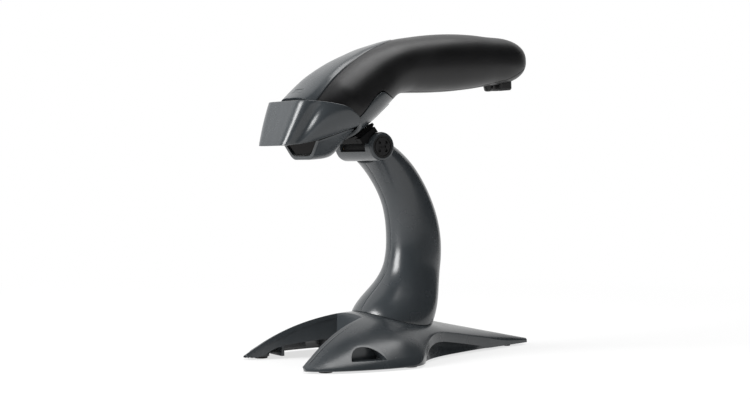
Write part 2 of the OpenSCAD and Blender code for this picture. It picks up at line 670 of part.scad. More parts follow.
// Inward direction in plan at place w on the bezel
function nose_inward(w) =
    let (d = station(nose_rim, min(w + 0.1, nose_last)) - station(nose_rim, max(w - 0.1, 0)))
    [-d[1], d[0], 0] / norm([d[0], d[1]]);
function nose_point(i, j, inset) =
    let (
        side = 2 * i / nose_rows - 1,
        w = nose_last * abs(side),
        t = j / nose_columns,
        p = mix(station(nose_rim, w), station(nose_low, w), t)
            + (inset - through(nose_bulge, w) * sin(180 * t)) * nose_inward(w)
    )
    [sign(side) * max(p[0], 0), spine_start[0] + p[1], spine_start[1] + p[2]];
nose_wall = 2.2;
brow_tilt = atan2(nose_low[6][2] - nose_low[0][2], nose_low[6][1] - nose_low[0][1]);
module on_nose() translate([0, spine_start[0], spine_start[1]]) children();
module nose_bezel() color(slate) placed() {
    thick_patch(
        [for (i = [0 : nose_rows]) [for (j = [0 : nose_columns]) nose_point(i, j, 0)]],
        [for (i = [0 : nose_rows]) [for (j = [0 : nose_columns]) nose_point(i, j, nose_wall)]]);
    on_nose() translate([0, nose_low[0][1], nose_low[0][2]]) rotate([brow_tilt, 0, 0])
        translate([0, 0, 0.3]) linear_extrude(brow_thickness) polygon(brow_outline);
    on_spine(0)
        translate([-tongue[0] / 2, tongue_start, half_height(0) - shell_wall - seam - tongue[2] - 0.1])
        cube(tongue);
}
// Tongue on the bezel that hooks under the front of the handle shell
tongue = [8, 13, 1.5];
tongue_start = -7.6;
// Floor of the brow between the bezel's wings
brow_thickness = 1.8;
brow_outline = [[-10.4, 1], [10.4, 1], [19.6, 18.6], [-19.6, 18.6]];

insert_rows = 16;
insert_columns = 8;
insert_rise = 1.4;
insert_half = [[0, 15.8], [12, 14.6], [26, 12], [44, 7.4], [56, 3.4], [62.5, 1.4]];
insert_end = 62.5;
function insert_point(i, j, inset) =
    let (
        f = 2 * j / insert_columns - 1,
        l = mix(through(rim_front, 0.35 * abs(f)), insert_end, i / insert_rows)
    )
    body_at(l, sign(f) * angle_at(l, abs(f) * max(through(insert_half, l) + 0.6 * inset, 0.3)), inset);
module top_insert() color(slate) placed() difference() {
    thick_patch(
        [for (i = [0 : insert_rows]) [for (j = [0 : insert_columns])
            insert_point(i, j, -insert_rise)]],
        [for (i = [0 : insert_rows]) [for (j = [0 : insert_columns]) insert_point(i, j, -0.1)]]);
    on_top(indicator_l) translate([-indicator_size[0] / 2 - 0.1, -indicator_size[1] / 2 - 0.1, -2])
        cube([indicator_size[0] + 0.2, indicator_size[1] + 0.2, 9]);
}
module on_top(l) on_spine(l) translate([0, 0, half_height(l)]) children();
indicator_l = 8;
indicator_size = [9, 3.4, 1.1];
led_diameter = 3;
module indicator_lens() color("#30483a") placed() on_top(indicator_l)
    translate([-indicator_size[0] / 2, -indicator_size[1] / 2, 0.3]) cube(indicator_size);
module indicator_led() color("#9fc9a8") placed() on_top(indicator_l) translate([0, 0, -5])
    cylinder(d = led_diameter, h = 4.6);

// Window frame under the brow: stations as [along, top half width, top, bottom half width, bottom]
jaw = [[-3.9, 20.2, -7.3, 10.4, -17.8], [1, 22, -5.5, 10.4, -17.5], [7, 24, -3.2, 10, -16.8],
       [12, 25.4, -1.4, 9, -15.2], [16.2, 25.4, -0.6, 7.4, -11.6]];
jaw_wall = 2;
jaw_rows = 8;
jaw_lean = 0.15;
jaw_corner = 0.3;
function jaw_row(i) =
    let (x = i * (len(jaw) - 1) / jaw_rows)
    [for (c = [0 : 4]) through([for (k = [0 : len(jaw) - 1]) [k, jaw[k][c]]], x)];
// Half outline from the middle of the bottom to the top edge, round at the corner
function jaw_half(r, inset) =
    let (
        low = [r[3] - 0.6 * inset, r[4] + inset],
        top = [r[1] - 1.3 * inset, r[2]],
        a = mix([0, low[1]], low, 1 - jaw_corner),
        b = mix(low, top, jaw_corner)
    )
    concat([[0, low[1]]], [for (t = [0 : 0.25 : 1]) mix(mix(a, low, t), mix(low, b, t), t)],
           [mix(b, top, 0.5), top]);
function jaw_section(i, inset) =
    let (r = jaw_row(i), h = jaw_half(r, inset), n = len(h))
    [for (k = [n - 1 : -1 : 1 - n])
        let (q = h[abs(k)])
        [sign(k) * q[0], spine_start[0] + r[0] + jaw_lean * (r[2] - q[1]) * (1 - i / jaw_rows),
         spine_start[1] + q[1]]];
module window_frame() color(slate) placed() thick_patch(
    [for (i = [0 : jaw_rows]) jaw_section(i, 0)],
    [for (i = [0 : jaw_rows]) jaw_section(i, jaw_wall)]);

// Window pane and its seal, set in the frame's mouth
module window_plate(inset, from, thickness) on_nose()
    translate([0, jaw[0][0], jaw[0][2]]) rotate([90 + atan(jaw_lean), 0, 0])
        translate([0, 0, -from - thickness]) linear_extrude(thickness) offset(delta = -inset)
            polygon([for (x = [-1, 1]) [x * (jaw[0][1] - 3.2), 0],
                     for (x = [1, -1]) [x * (jaw[0][3] - 2.6), jaw[0][4] - jaw[0][2] + 2.8]]);
module scan_window() color("#12100f") placed() window_plate(0.3, 1, 1.6);
module window_gasket() color(rubber) placed() difference() {
    window_plate(0.3, 2.7, 1);
    window_plate(1.6, 2, 3);
}

// Optics behind the window
engine_size = [20, 11, 12];
engine_place = [9.2, -3.2];
engine_tilt = 8;
lens_place = [3, -1];
lens_radius = 2.8;
lens_hood = 2.4;
lamp_place = [-8, -4];
lamp_recess = [5, 3, 5];
bracket_width = 26;
bracket_sheet = 1.2;
module on_engine() on_nose() translate([0, engine_place[0], engine_place[1]]) rotate([engine_tilt, 0, 0])
    children();
module scan_engine() color("#22272b") placed() on_engine() difference() {
    union() {
        translate([-engine_size[0] / 2, -engine_size[1] / 2, -engine_size[2] / 2]) cube(engine_size);
        translate([lens_place[0], -engine_size[1] / 2, lens_place[1]]) rotate([90, 0, 0])
            cylinder(r = lens_radius + 0.8, h = lens_hood);
    }
    translate([lens_place[0], 0, lens_place[1]]) rotate([90, 0, 0]) cylinder(r = lens_radius, h = 20);
    translate([lamp_place[0], -engine_size[1] / 2 - 1, lamp_place[1]]) cube(lamp_recess);
}
module engine_lens() color("#5d6f86") placed() on_engine()
    translate([lens_place[0], -engine_size[1] / 2 - 1, lens_place[1]]) rotate([90, 0, 0])
        cylinder(r = lens_radius - head_gap, h = 1);
module engine_bracket() color(steel) placed() on_engine() difference() {
    union() {
        translate([-bracket_width / 2, engine_size[1] / 2 + 0.1, -engine_size[2] / 2 + 3.4])
            cube([bracket_width, bracket_sheet, 10]);
        translate([-bracket_width / 2, -4, engine_size[2] / 2 + 0.3])
            cube([bracket_width, 10.8, bracket_sheet]);
    }
    for (side = [-1, 1]) translate([side * (bracket_width / 2 - 3), 0, 0]) cylinder(d = 2.6, h = 20);
}

// Electronics in the handle
board_l = 99;
board_size = [27, 60, 1.6];
board_level = -4;
board_post = 2.2;
board_screw_core = 2;
board_screw_length = 8;
board_screw_places = [for (x = [-1, 1]) for (y = [-1, 1])
    [x * (board_size[0] / 2 - 4), y * (board_size[1] / 2 - 4)]];
module on_board() on_spine(board_l) translate([0, 0, board_level + board_size[2]]) children();
module main_board() color(board_green) placed() on_board() difference() {
    translate([-board_size[0] / 2, -board_size[1] / 2, -board_size[2]]) cube(board_size);
    for (p = board_screw_places) translate([p[0], p[1], -5])
        cylinder(d = board_screw_core + bolt_play, h = 10);
}
module board_screws() color(steel) placed() on_board()
    for (p = board_screw_places) translate([p[0], p[1], -board_size[2] - head_gap])
        pan_screw(board_screw_core, 3.8, board_screw_length);
beeper_y = 14;
beeper_size = [12, 5.4];
module beeper() color(black) placed() on_board() translate([0, beeper_y, head_gap]) difference() {
    cylinder(d = beeper_size[0], h = beeper_size[1]);
    translate([0, 0, beeper_size[1] - 1]) cylinder(d = 2, h = 4);
}
chip_y = -16;
chip_size = [12, 12, 1.4];
module decoder_chip() color("#26282a") placed() on_board()
    translate([-chip_size[0] / 2, chip_y, head_gap]) cube(chip_size);
sensor_size = [6, 3, 2];
module stand_sensor() color("#3c3a36") placed() on_belly(magnet_l)
    translate([-sensor_size[0] / 2, -sensor_size[1] / 2, shell_wall + 0.4]) cube(sensor_size);
module cable_socket() color(black) placed() difference() {
    socket_box(0, socket_drop);
    on_belly(socket_l) translate([-plug_opening[0] / 2, -plug_opening[1] / 2, -socket_drop - 1])
        cube([plug_opening[0], plug_opening[1], plug_opening[2] + 1]);
    on_belly(socket_l) translate([-latch_size[0] / 2, plug_opening[1] / 2 - 0.5, -socket_drop - 1])
        cube([latch_size[0], latch_size[1], plug_opening[2]]);
}
module housing_screws() color(steel) placed()
    for (l = cover_screw_l) on_belly(l) translate([0, 0, screw_seat - head_gap])
        pan_screw(cover_screw_core, cover_screw_head, 9);

// Trigger, swinging on a pin held by its cradle
pin_radius = 1;
pin_length = 18.6;
cradle_level = 10.6;
cradle_size = [20, 16.4, 1.5];
cradle_start = -8.6;
cheek_x = 8.4;
module in_trigger() on_belly(trigger_middle) children();
module at_pin() in_trigger() translate([0, pin_place[0], pin_place[1]]) children();
trigger_rows = 8;
trigger_columns = 8;
function trigger_point(i, j, inset) =
    let (
        l = mix(trigger_l[0], trigger_l[1], i / trigger_rows),
        f = 2 * j / trigger_columns - 1
    )
    body_at(l, 180 + sign(f) * angle_at(l, abs(f) * trigger_half), inset);
module trigger() color(slate) placed() difference() {
    union() {
        thick_patch(
            [for (i = [0 : trigger_rows]) [for (j = [0 : trigger_columns])
                trigger_point(i, j, -trigger_proud)]],
            [for (i = [0 : trigger_rows]) [for (j = [0 : trigger_columns])
                trigger_point(i, j, shell_wall)]]);
        in_trigger() translate([-lug_width / 2, pin_place[0] - 1.9, lug_low])
            cube([lug_width, 3.8, pin_place[1] - lug_low]);
        at_pin() across(lug_radius, lug_width);
        in_trigger() translate([0, switch_y, lug_low]) cylinder(r = 1.3, h = nub_top - lug_low);
    }
    at_pin() across(pin_radius + running_clearance, 40);
}
lug_width = 12;
lug_radius = 2.3;
lug_low = 1.5;
switch_y = -5.4;
switch_body = 6;
plunger_low = 6;
nub_top = plunger_low - (pin_place[0] - switch_y) * tan(trigger_swing) - 0.3;
module trigger_pin() color(steel) placed() at_pin() across(pin_radius, pin_length);
module trigger_cradle() color("#2b2e31") placed() difference() {
    in_trigger() {
        translate([-cradle_size[0] / 2, cradle_start, cradle_level]) cube(cradle_size);
        for (side = [-1, 1]) translate([side * cheek_x - 1, pin_place[0] - 2.4, pin_place[1] - 1.7])
            cube([2, 4.6, cradle_level - pin_place[1] + 2]);
    }
    at_pin() across(pin_radius + 0.01, 40);
}
module trigger_switch() color("#1a1a1a") placed() in_trigger() {
    translate([-switch_body / 2, switch_y - switch_body / 2, plunger_low + 1])
        cube([switch_body, switch_body, cradle_level - plunger_low - 1 - head_gap]);
    translate([0, switch_y, plunger_low]) cylinder(r = 1.5, h = 1.4);
}
spring_turns = 5;
spring_radius = 2;
spring_wire = 0.25;
spring_steps = 14;
spring_y = 1;
module trigger_spring() color(steel) placed() in_trigger() {
    low = shell_wall + spring_wire + 0.1;
    rise = cradle_level - low - spring_wire - 0.1;
    rings = [for (i = [0 : spring_turns * spring_steps])
        let (a = 360 * i / spring_steps)
        [for (b = [0 : 60 : 300])
            let (r = spring_radius + spring_wire * cos(b))
            [r * cos(a), spring_y + r * sin(a),
             low + rise * i / (spring_turns * spring_steps) + spring_wire * sin(b)]]];
    n = len(rings);
    polyhedron([for (r = rings) for (p = r) p], concat(
        [[for (k = [5 : -1 : 0]) k]], [[for (k = [0 : 5]) (n - 1) * 6 + k]],
        [for (i = [0 : n - 2]) for (k = [0 : 5]) for (f = [
            [i * 6 + k, (i + 1) * 6 + (k + 1) % 6, (i + 1) * 6 + k],
            [i * 6 + k, i * 6 + (k + 1) % 6, (i + 1) * 6 + (k + 1) % 6]]) f]));
}

base_shell();
base_weight();
weight_screws();
base_feet();
neck_left();
neck_right();
neck_screws();
neck_bolts();
hinge_yoke();
hinge_bolt();
hinge_nut();
hinge_washers();
hinge_caps();
cup();
cup_magnet();
cup_pads();
handle_shell();
handle_cover();
lower_housing();
nose_bezel();
top_insert();
indicator_lens();
window_frame();
scan_window();
window_gasket();
scan_engine();
engine_lens();
engine_bracket();
main_board();
board_screws();
indicator_led();
beeper();
decoder_chip();
trigger_switch();
stand_sensor();
cable_socket();
housing_screws();
trigger_cradle();
trigger();
trigger_pin();
trigger_spring();
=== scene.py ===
"""Looks of a handheld barcode scanner on its table stand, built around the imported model."""

import functools
import json
import math

import bmesh
import bpy
import numpy as np
from mathutils import Matrix, Vector


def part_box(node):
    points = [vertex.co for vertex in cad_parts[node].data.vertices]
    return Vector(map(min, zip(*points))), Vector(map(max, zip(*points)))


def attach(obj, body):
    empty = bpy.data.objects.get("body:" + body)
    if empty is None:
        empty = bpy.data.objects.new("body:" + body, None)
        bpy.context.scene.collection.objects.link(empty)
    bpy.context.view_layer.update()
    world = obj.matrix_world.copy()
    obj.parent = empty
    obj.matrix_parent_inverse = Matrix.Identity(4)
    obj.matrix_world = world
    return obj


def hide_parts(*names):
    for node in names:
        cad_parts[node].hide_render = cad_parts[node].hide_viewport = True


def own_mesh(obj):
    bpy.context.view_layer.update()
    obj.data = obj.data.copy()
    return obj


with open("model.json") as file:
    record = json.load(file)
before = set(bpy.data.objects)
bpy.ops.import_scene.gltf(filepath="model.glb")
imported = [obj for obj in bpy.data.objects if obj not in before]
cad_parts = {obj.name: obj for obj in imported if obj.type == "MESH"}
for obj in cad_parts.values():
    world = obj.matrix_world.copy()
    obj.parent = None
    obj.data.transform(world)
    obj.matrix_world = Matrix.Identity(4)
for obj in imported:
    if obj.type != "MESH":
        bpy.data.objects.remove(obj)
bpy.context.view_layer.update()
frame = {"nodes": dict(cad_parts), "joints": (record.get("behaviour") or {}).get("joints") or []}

bl_info = {
    "name": "Barcode scanner on its stand",
    "version": (1, 0, 0),
    "blender": (4, 5, 0),
    "location": "3D View > Sidebar > Scanner",
    "description": "Smooth shells, moulded finishes and a studio stage for a barcode scanner",
    "category": "Object",
}

MM = 0.001
PHOTO_SIZE = (750, 400)


def linear(hex_colour):
    """Linear RGB of an sRGB hex colour."""
    parts = [int(hex_colour[i:i + 2], 16) / 255 for i in (1, 3, 5)]
    return tuple(c / 12.92 if c <= 0.04045 else ((c + 0.055) / 1.055) ** 2.4 for c in parts)


def joint_place(name):
    """A joint's place in millimetres, as (rearward, up)."""
    found = [j for j in frame["joints"] if j["name"] == name][0]
    return np.array(found["pos_m"][1:]) / MM


# Curves

def slope(stations, i):
    a, b = stations[max(i - 1, 0)], stations[min(i + 1, len(stations) - 1)]
    return (b[1] - a[1]) / (b[0] - a[0])


def through(stations, x):
    """Smooth curve through (x, y) stations."""
    i = 0
    while i < len(stations) - 2 and x >= stations[i + 1][0]:
        i += 1
    width = stations[i + 1][0] - stations[i][0]
    t = min(max((x - stations[i][0]) / width, 0), 1)
    m0, m1 = slope(stations, i) * width, slope(stations, i + 1) * width
    return ((2 * t ** 3 - 3 * t * t + 1) * stations[i][1] + (t ** 3 - 2 * t * t + t) * m0
            + (3 * t * t - 2 * t ** 3) * stations[i + 1][1] + (t ** 3 - t * t) * m1)


def station(rows, w):
    """Smooth point on a list of points, at place w along it."""
    return np.array([through(list(enumerate(column)), w) for column in zip(*rows)])


def signed_power(v, e):
    return math.copysign(abs(v) ** e, v)


def mix(a, b, t):
    return a + (b - a) * t


def even(count, low=0.0, high=1.0):
    return [mix(low, high, k / count) for k in range(count + 1)]


def sin(a):
    return math.sin(math.radians(a))


def cos(a):
    return math.cos(math.radians(a))


# Stand base: outline and height by distance from the prong tips

BASE_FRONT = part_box("base_shell")[0].y / MM
BASE_LENGTH = 181
BASE_WIDTH = 103
BASE_WALL = 2.6
FOOT_GAP = 1.2
BASE_HALF = [(0, 34.5), (6, 40.5), (12, 43.6), (25, 47.8), (38, 50.3), (53, 51.5), (64, 51),
             (70, 46.5), (76, 39.5), (84, 33), (98, 25.6), (118, 18.4), (138, 12.2), (160, 6.6),
             (181, 1.6)]
BASE_RIDGE = [(0, 6), (12, 14.4), (23, 19.4), (34, 22.8), (50, 25.6), (62, 26), (75, 24.8),
              (113, 16.8), (181, 2.6)]
BASE_RIM = [(0, 0.6), (60, 0.6), (68, 2), (74, 7.6), (82, 12.4), (92, 14.4), (104, 13), (138, 7),
            (160, 3), (181, 1.6)]
SOFT_REACH, SOFT_STEPS = 6, 9
MOUND_POWER = 0.72
NOTCH_START, NOTCH_END, NOTCH_HALF, NOTCH_MOUTH = -8, 50, 13.2, 34


@functools.cache
def base_lines(s):
    """Half width, rim and ridge of the base, evened out over a few millimetres along it."""
    reach = min(SOFT_REACH, s, BASE_LENGTH - s)
    places = [s + reach * (2 * k / (SOFT_STEPS - 1) - 1) for k in range(SOFT_STEPS)]
    return [sum(through(line, p) for p in places) / SOFT_STEPS
            for line in (BASE_HALF, BASE_RIM, BASE_RIDGE)]


def mound(x, s):
    """Height of the base's skin."""
    half, rim, ridge = base_lines(s)
    q = min(abs(x) / half, 1)
    return rim + (ridge - rim) * (1 - q * q) ** MOUND_POWER


def mound_reach(z, s):
    """Distance from the middle at which the skin is z high."""
    half, rim, ridge = base_lines(s)
    share = min(max((z - rim) / (ridge - rim), 0), 1)
    return half * math.sqrt(1 - share ** (1 / MOUND_POWER))


def notch_edge(s):
    return mix(NOTCH_MOUTH, NOTCH_HALF, (s - NOTCH_START) / (NOTCH_END - NOTCH_START))


def on_base(x, s, z):
    """Point by its distance from the prong tips and its height above the base's foot."""
    return np.array([x, BASE_FRONT + s, FOOT_GAP + z])


# Neck: rings on an arc, with a flared foot on the base

FOOT_S, FOOT_HALF_LENGTH, FOOT_HALF_WIDTH, FOOT_LIFT = 79.5, 22, 25, 0.1
FOOT_FLARE = 13 * np.array([0, 0.45, 0.89])
NECK_RADIUS = 60
NECK_LOW, NECK_HIGH = -8, 62
NECK_CENTRE = (FOOT_S - 44.3, 64.6)
NECK_DEPTHS = [(-8, 16.6), (8, 16), (30, 13.4), (46, 11.4), (62, 8.2)]
NECK_WIDTHS = [(-8, 15.1), (8, 14.2), (30, 13.6), (46, 14.2), (62, 16)]
NECK_SHIFT = [(-8, 0), (20, 0), (46, 1.3), (62, 2.6)]
NECK_FLARE = 16 * np.array([0, sin(NECK_LOW), -cos(NECK_LOW)])
NECK_POWER = 0.92
NECK_JOIN = 0.36
PART_GAP = 0.05


def neck_ring(a, th, inset):
    r = (NECK_RADIUS + through(NECK_SHIFT, a)
         + (through(NECK_DEPTHS, a) - inset) * signed_power(cos(th), NECK_POWER))
    x = (through(NECK_WIDTHS, a) - inset) * signed_power(sin(th), NECK_POWER)
    return np.array([x + PART_GAP, NECK_CENTRE[0] + r * cos(a), NECK_CENTRE[1] + r * sin(a)])


def neck_foot(th, inset):
    x = (FOOT_HALF_WIDTH - inset) * signed_power(sin(th), NECK_POWER)
    s = FOOT_S + (FOOT_HALF_LENGTH - inset) * signed_power(cos(th), NECK_POWER)
    return np.array([x + PART_GAP, s, FOOT_GAP + mound(x, s) + FOOT_LIFT])


def neck_point(t, th, inset):
    if t > NECK_JOIN:
        return neck_ring(mix(NECK_LOW, NECK_HIGH, (t - NECK_JOIN) / (1 - NECK_JOIN)), th, inset)
    u = t / NECK_JOIN
    a, d = neck_foot(th, inset), neck_ring(NECK_LOW, th, inset)
    b, c = a + FOOT_FLARE, d + NECK_FLARE
    return (1 - u) ** 3 * a + 3 * u * (1 - u) ** 2 * b + 3 * u * u * (1 - u) * c + u ** 3 * d


# Scanner body: a spine of three arcs with a changing section

HEAD_LENGTH, BEND_LENGTH, HANDLE_LENGTH = 51, 26, 90
SPINE_LENGTH = HEAD_LENGTH + BEND_LENGTH + HANDLE_LENGTH
NOSE_PITCH, HEAD_PITCH, GRIP_PITCH, TAIL_PITCH = 37, 32.5, 6, 1.5
HALF_HEIGHTS = [(0, 18), (9, 18.2), (23, 19), (37, 18.6), (51, 17), (61, 15.6), (71, 15.6),
                (81, 16.2), (94, 16.9), (109, 17), (124, 16.2), (137, 14.9), (150, 14.2),
                (167, 13.6)]
HALF_WIDTHS = [(0, 20), (9, 25), (17, 27.3), (23, 27.8), (37, 25.5), (51, 22.4), (61, 20.9),
               (71, 20.2), (81, 20), (109, 20), (124, 19.4), (137, 18), (150, 16.6), (167, 15.4)]
TAIL_CAP, TAIL_ROUND = 24, 2.2
BODY_POWER = 2 / 2.4
SHELL_WALL = 2.2
SEAM = 0.2
SEAT_L, SEAT_GAP = 26.5, 12.2
SHELL_SEAM = [(0, 108), (17, 105), (41, 97), (47, 122), (53, 152), (60, 160), (120, 160),
              (143, 142), (158, 118), (163, 122), (167, 175)]
RIM_FRONT = [(0, 1.2), (0.3, 3.4), (0.55, 9), (0.8, 14.6), (1, 17.5)]
RIM_L, RIM_TURN = 17, 105
HOUSING_FRONT = [(0, 11.5), (0.3, 12.2), (0.65, 18.4), (1, 18.6)]
HOUSING_END = 53
SEAM_TURN = 2.3
UPPER_SHARE, UPPER_TURN = 0.7, 95


def pitch(l):
    if l < HEAD_LENGTH:
        return mix(NOSE_PITCH, HEAD_PITCH, l / HEAD_LENGTH)
    if l < HEAD_LENGTH + BEND_LENGTH:
        return mix(HEAD_PITCH, GRIP_PITCH, (l - HEAD_LENGTH) / BEND_LENGTH)
    return mix(GRIP_PITCH, TAIL_PITCH, (l - HEAD_LENGTH - BEND_LENGTH) / HANDLE_LENGTH)


def arc_run(a, b, run):
    """Travel along an arc whose pitch turns from a to b."""
    if abs(b - a) < 0.001:
        return run * np.array([cos(a), sin(a)])
    return run / math.radians(b - a) * np.array([sin(b) - sin(a), cos(a) - cos(b)])


def spine_run(l):
    run = arc_run(NOSE_PITCH, pitch(min(l, HEAD_LENGTH)), min(l, HEAD_LENGTH))
    if l > HEAD_LENGTH:
        part = min(l - HEAD_LENGTH, BEND_LENGTH)
        run = run + arc_run(HEAD_PITCH, pitch(HEAD_LENGTH + part), part)
    if l > HEAD_LENGTH + BEND_LENGTH:
        run = run + arc_run(GRIP_PITCH, pitch(l), l - HEAD_LENGTH - BEND_LENGTH)
    return run


def tail_taper(l):
    t = (l - SPINE_LENGTH + TAIL_CAP) / TAIL_CAP
    return 1 if t <= 0 else max(1 - min(t, 1) ** TAIL_ROUND, 0) ** (1 / TAIL_ROUND)


def half_height(l):
    return through(HALF_HEIGHTS, l) * tail_taper(l)


def half_width(l):
    return through(HALF_WIDTHS, l) * tail_taper(l)


SPINE_START = (joint_place("cup_tilt") - spine_run(SEAT_L) + (SEAT_GAP + half_height(SEAT_L))
               * np.array([-sin(pitch(SEAT_L)), cos(pitch(SEAT_L))]))


def spine(l):
    return SPINE_START + spine_run(l)


def body_at(l, v, inset):
    """Point on the body at spine length l and angle v from the top, inset from its skin."""
    p, c = pitch(l), spine(l)
    x = max(half_width(l) - inset, 0) * signed_power(sin(v), BODY_POWER)
    z = max(half_height(l) - inset, 0) * signed_power(cos(v), BODY_POWER)
    return np.array([x, c[0] - z * sin(p), c[1] + z * cos(p)])


def angle_at(l, x):
    """Angle at which the skin is x from the middle."""
    return math.degrees(math.asin(min(x / half_width(l), 1) ** (1 / BODY_POWER)))


def shell_angle(f, l):
    """Angle on the handle shell at share f of the way from its top to its seam."""
    if abs(f) < UPPER_SHARE:
        return UPPER_TURN * f / UPPER_SHARE
    low = mix(UPPER_TURN, through(SHELL_SEAM, l), (abs(f) - UPPER_SHARE) / (1 - UPPER_SHARE))
    return math.copysign(low, f)


def seam_turn(l):
    """Angle from the belly's middle to the edge of what closes the shell below."""
    return 180 - through(SHELL_SEAM, l) - SEAM_TURN


# Nose bezel, window frame, insert, socket and trigger

NOSE_RIM = [(0, -14.5, 14.7), (8.2, -14.5, 14.7), (15.4, -14.2, 14.7), (20.2, -11.8, 14.6),
            (24.2, -6.6, 14.1), (27.9, -1.2, 13.4), (31.4, 7, 11.5), (31.7, 12.5, 8.4),
            (30.2, 17.6, 4.6)]
NOSE_LOW = [(0, -23.2, -10.2), (6.4, -23.2, -10.2), (11.6, -23, -10.15), (15.2, -21.2, -9.95),
            (17, -17.2, -9.4), (18.8, -12.2, -8.7), (21.2, -3.6, -6.6), (24.5, 7, -2.9),
            (27.4, 16.8, 0.6)]
NOSE_BULGE = [(0, 0.15), (2, 0.3), (3.2, 0.5), (4.2, -1.1), (5.3, 2.1), (6.3, 2.1), (8, 0.4)]
NOSE_WALL, NOSE_STEP, BULGE_POWER = 2.2, 0.1, 0.75
INSERT_HALF = [(0, 17.6), (12, 17.4), (26, 15.4), (44, 11), (58, 7.4), (66, 5), (69.6, 3.2),
               (71.4, 0.8)]
INSERT_RISE = [(0, 1.4), (30, 1.4), (50, 0.9), (64, 0.4), (71.4, 0.25)]
INSERT_BORDER, BORDER_FALL = 0.78, 0.6
INSERT_FRONT, INSERT_END, INSERT_SEAT = 0.35, 71.4, 0.1
INSERT_SLOPE, INSERT_LEAST = 0.6, 0.3
JAW = [(-3.9, 20.2, -7.3, 10.4, -17.8), (1, 22, -5.5, 10.4, -17.5), (7, 24, -3.2, 10, -16.8),
       (12, 25.4, -1.4, 9, -15.2), (16.2, 25.4, -0.6, 7.4, -11.6)]
JAW_WALL, JAW_LEAN, JAW_CORNER = 2, 0.15, 0.3
JAW_LOW_WALL, JAW_TOP_WALL = 0.6, 1.3
JAW_FLOOR_STEPS, JAW_CORNER_STEPS, JAW_SIDE_STEPS = 4, 8, 6
PEG_L = 28
TRIGGER_L = (34.6, 51)
TRIGGER_HALF, TRIGGER_PLAY = 8, 0.45


def nose_point(side, t, inset):
    last = len(NOSE_RIM) - 1
    w = last * abs(side)
    d = station(NOSE_RIM, min(w + NOSE_STEP, last)) - station(NOSE_RIM, max(w - NOSE_STEP, 0))
    inward = np.array([-d[1], d[0], 0]) / math.hypot(d[0], d[1])
    bulge = through(NOSE_BULGE, w) * sin(180 * t) ** BULGE_POWER
    p = mix(station(NOSE_RIM, w), station(NOSE_LOW, w), t) + (inset - bulge) * inward
    return np.array([math.copysign(max(p[0], 0), side), *(SPINE_START + p[1:])])


def insert_point(u, f, rise):
    """Point on the insert's top, or on its underside where rise is 0."""
    l = mix(through(RIM_FRONT, INSERT_FRONT * abs(f)), INSERT_END, u)
    x = abs(f) * max(through(INSERT_HALF, l) - INSERT_SLOPE * rise, INSERT_LEAST)
    border = max(abs(f) - INSERT_BORDER, 0) / (1 - INSERT_BORDER)
    height = INSERT_SEAT + rise * through(INSERT_RISE, l) * (1 - BORDER_FALL * border)
    return body_at(l, math.copysign(angle_at(l, x), f), -height)


def jaw_half(r, inset):
    """Half outline of the window frame from the middle of its bottom to its top edge."""
    low = np.array([r[3] - JAW_LOW_WALL * inset, r[4] + inset])
    top = np.array([r[1] - JAW_TOP_WALL * inset, r[2]])
    middle = np.array([0, low[1]])
    a, b = mix(middle, low, 1 - JAW_CORNER), mix(low, top, JAW_CORNER)
    floor = [mix(middle, a, k) for k in even(JAW_FLOOR_STEPS)[:-1]]
    corner = [mix(mix(a, low, k), mix(low, b, k), k) for k in even(JAW_CORNER_STEPS)]
    return floor + corner + [mix(b, top, k) for k in even(JAW_SIDE_STEPS)[1:]]


def jaw_section(u, inset):
    r = station(JAW, u * (len(JAW) - 1))
    half = jaw_half(r, inset)
    line = [(x, z) for x, z in half[::-1]] + [(-x, z) for x, z in half[1:]]
    leans = [r[0] + JAW_LEAN * (r[2] - z) * (1 - u) for x, z in line]
    return [np.array([x, SPINE_START[0] + lean, SPINE_START[1] + z])
            for (x, z), lean in zip(line, leans)]


# Meshes

OUTER, RIM, INNER = 1, 2, 3
WELD, SLIVER = 2e-6, 1e-6
CREASE = 38
FINISHES = {}

# Turns a drawing in (rearward, up) with its thickness across into place
SIDEWAYS = Matrix(((0, 0, 1, 0), (1, 0, 0, 0), (0, 1, 0, 0), (0, 0, 0, 1)))


def sizes():
    return bpy.context.scene.scanner_sizes


def add_sheet(bm, outer, inner, keep=None):
    """Closed sheet between two grids of points in millimetres, with the cells that keep leaves."""
    skin = bm.faces.layers.int.get("skin") or bm.faces.layers.int.new("skin")
    layers = [[[bm.verts.new(Vector(p) * MM) for p in row] for row in g] for g in (outer, inner)]
    rows, cols = len(outer), len(outer[0])
    open_edges = {}
    for i in range(rows - 1):
        for j in range(cols - 1):
            if keep and not keep(i, j):
                continue
            cell = [(i, j), (i, j + 1), (i + 1, j + 1), (i + 1, j)]
            bm.faces.new([layers[0][a][b] for a, b in cell])[skin] = OUTER
            bm.faces.new([layers[1][a][b] for a, b in cell[::-1]])[skin] = INNER
            for a, b in zip(cell, cell[1:] + cell[:1]):
                if (b, a) in open_edges:
                    open_edges.pop((b, a))
                else:
                    open_edges[(a, b)] = True
    for a, b in open_edges:
        corners = [layers[0][b[0]][b[1]], layers[0][a[0]][a[1]],
                   layers[1][a[0]][a[1]], layers[1][b[0]][b[1]]]
        bm.faces.new(corners)[skin] = RIM
    for v in [v for g in layers for row in g for v in row if not v.link_faces]:
        bm.verts.remove(v)


def add_layers(bm, rows, columns, point, depths, keep=None):
    """Sheet between the two surfaces that point(row, column, depth) gives for two depths."""
    grids = [[[point(i, j, depth) for j in columns] for i in rows] for depth in depths]
    add_sheet(bm, *grids, keep)


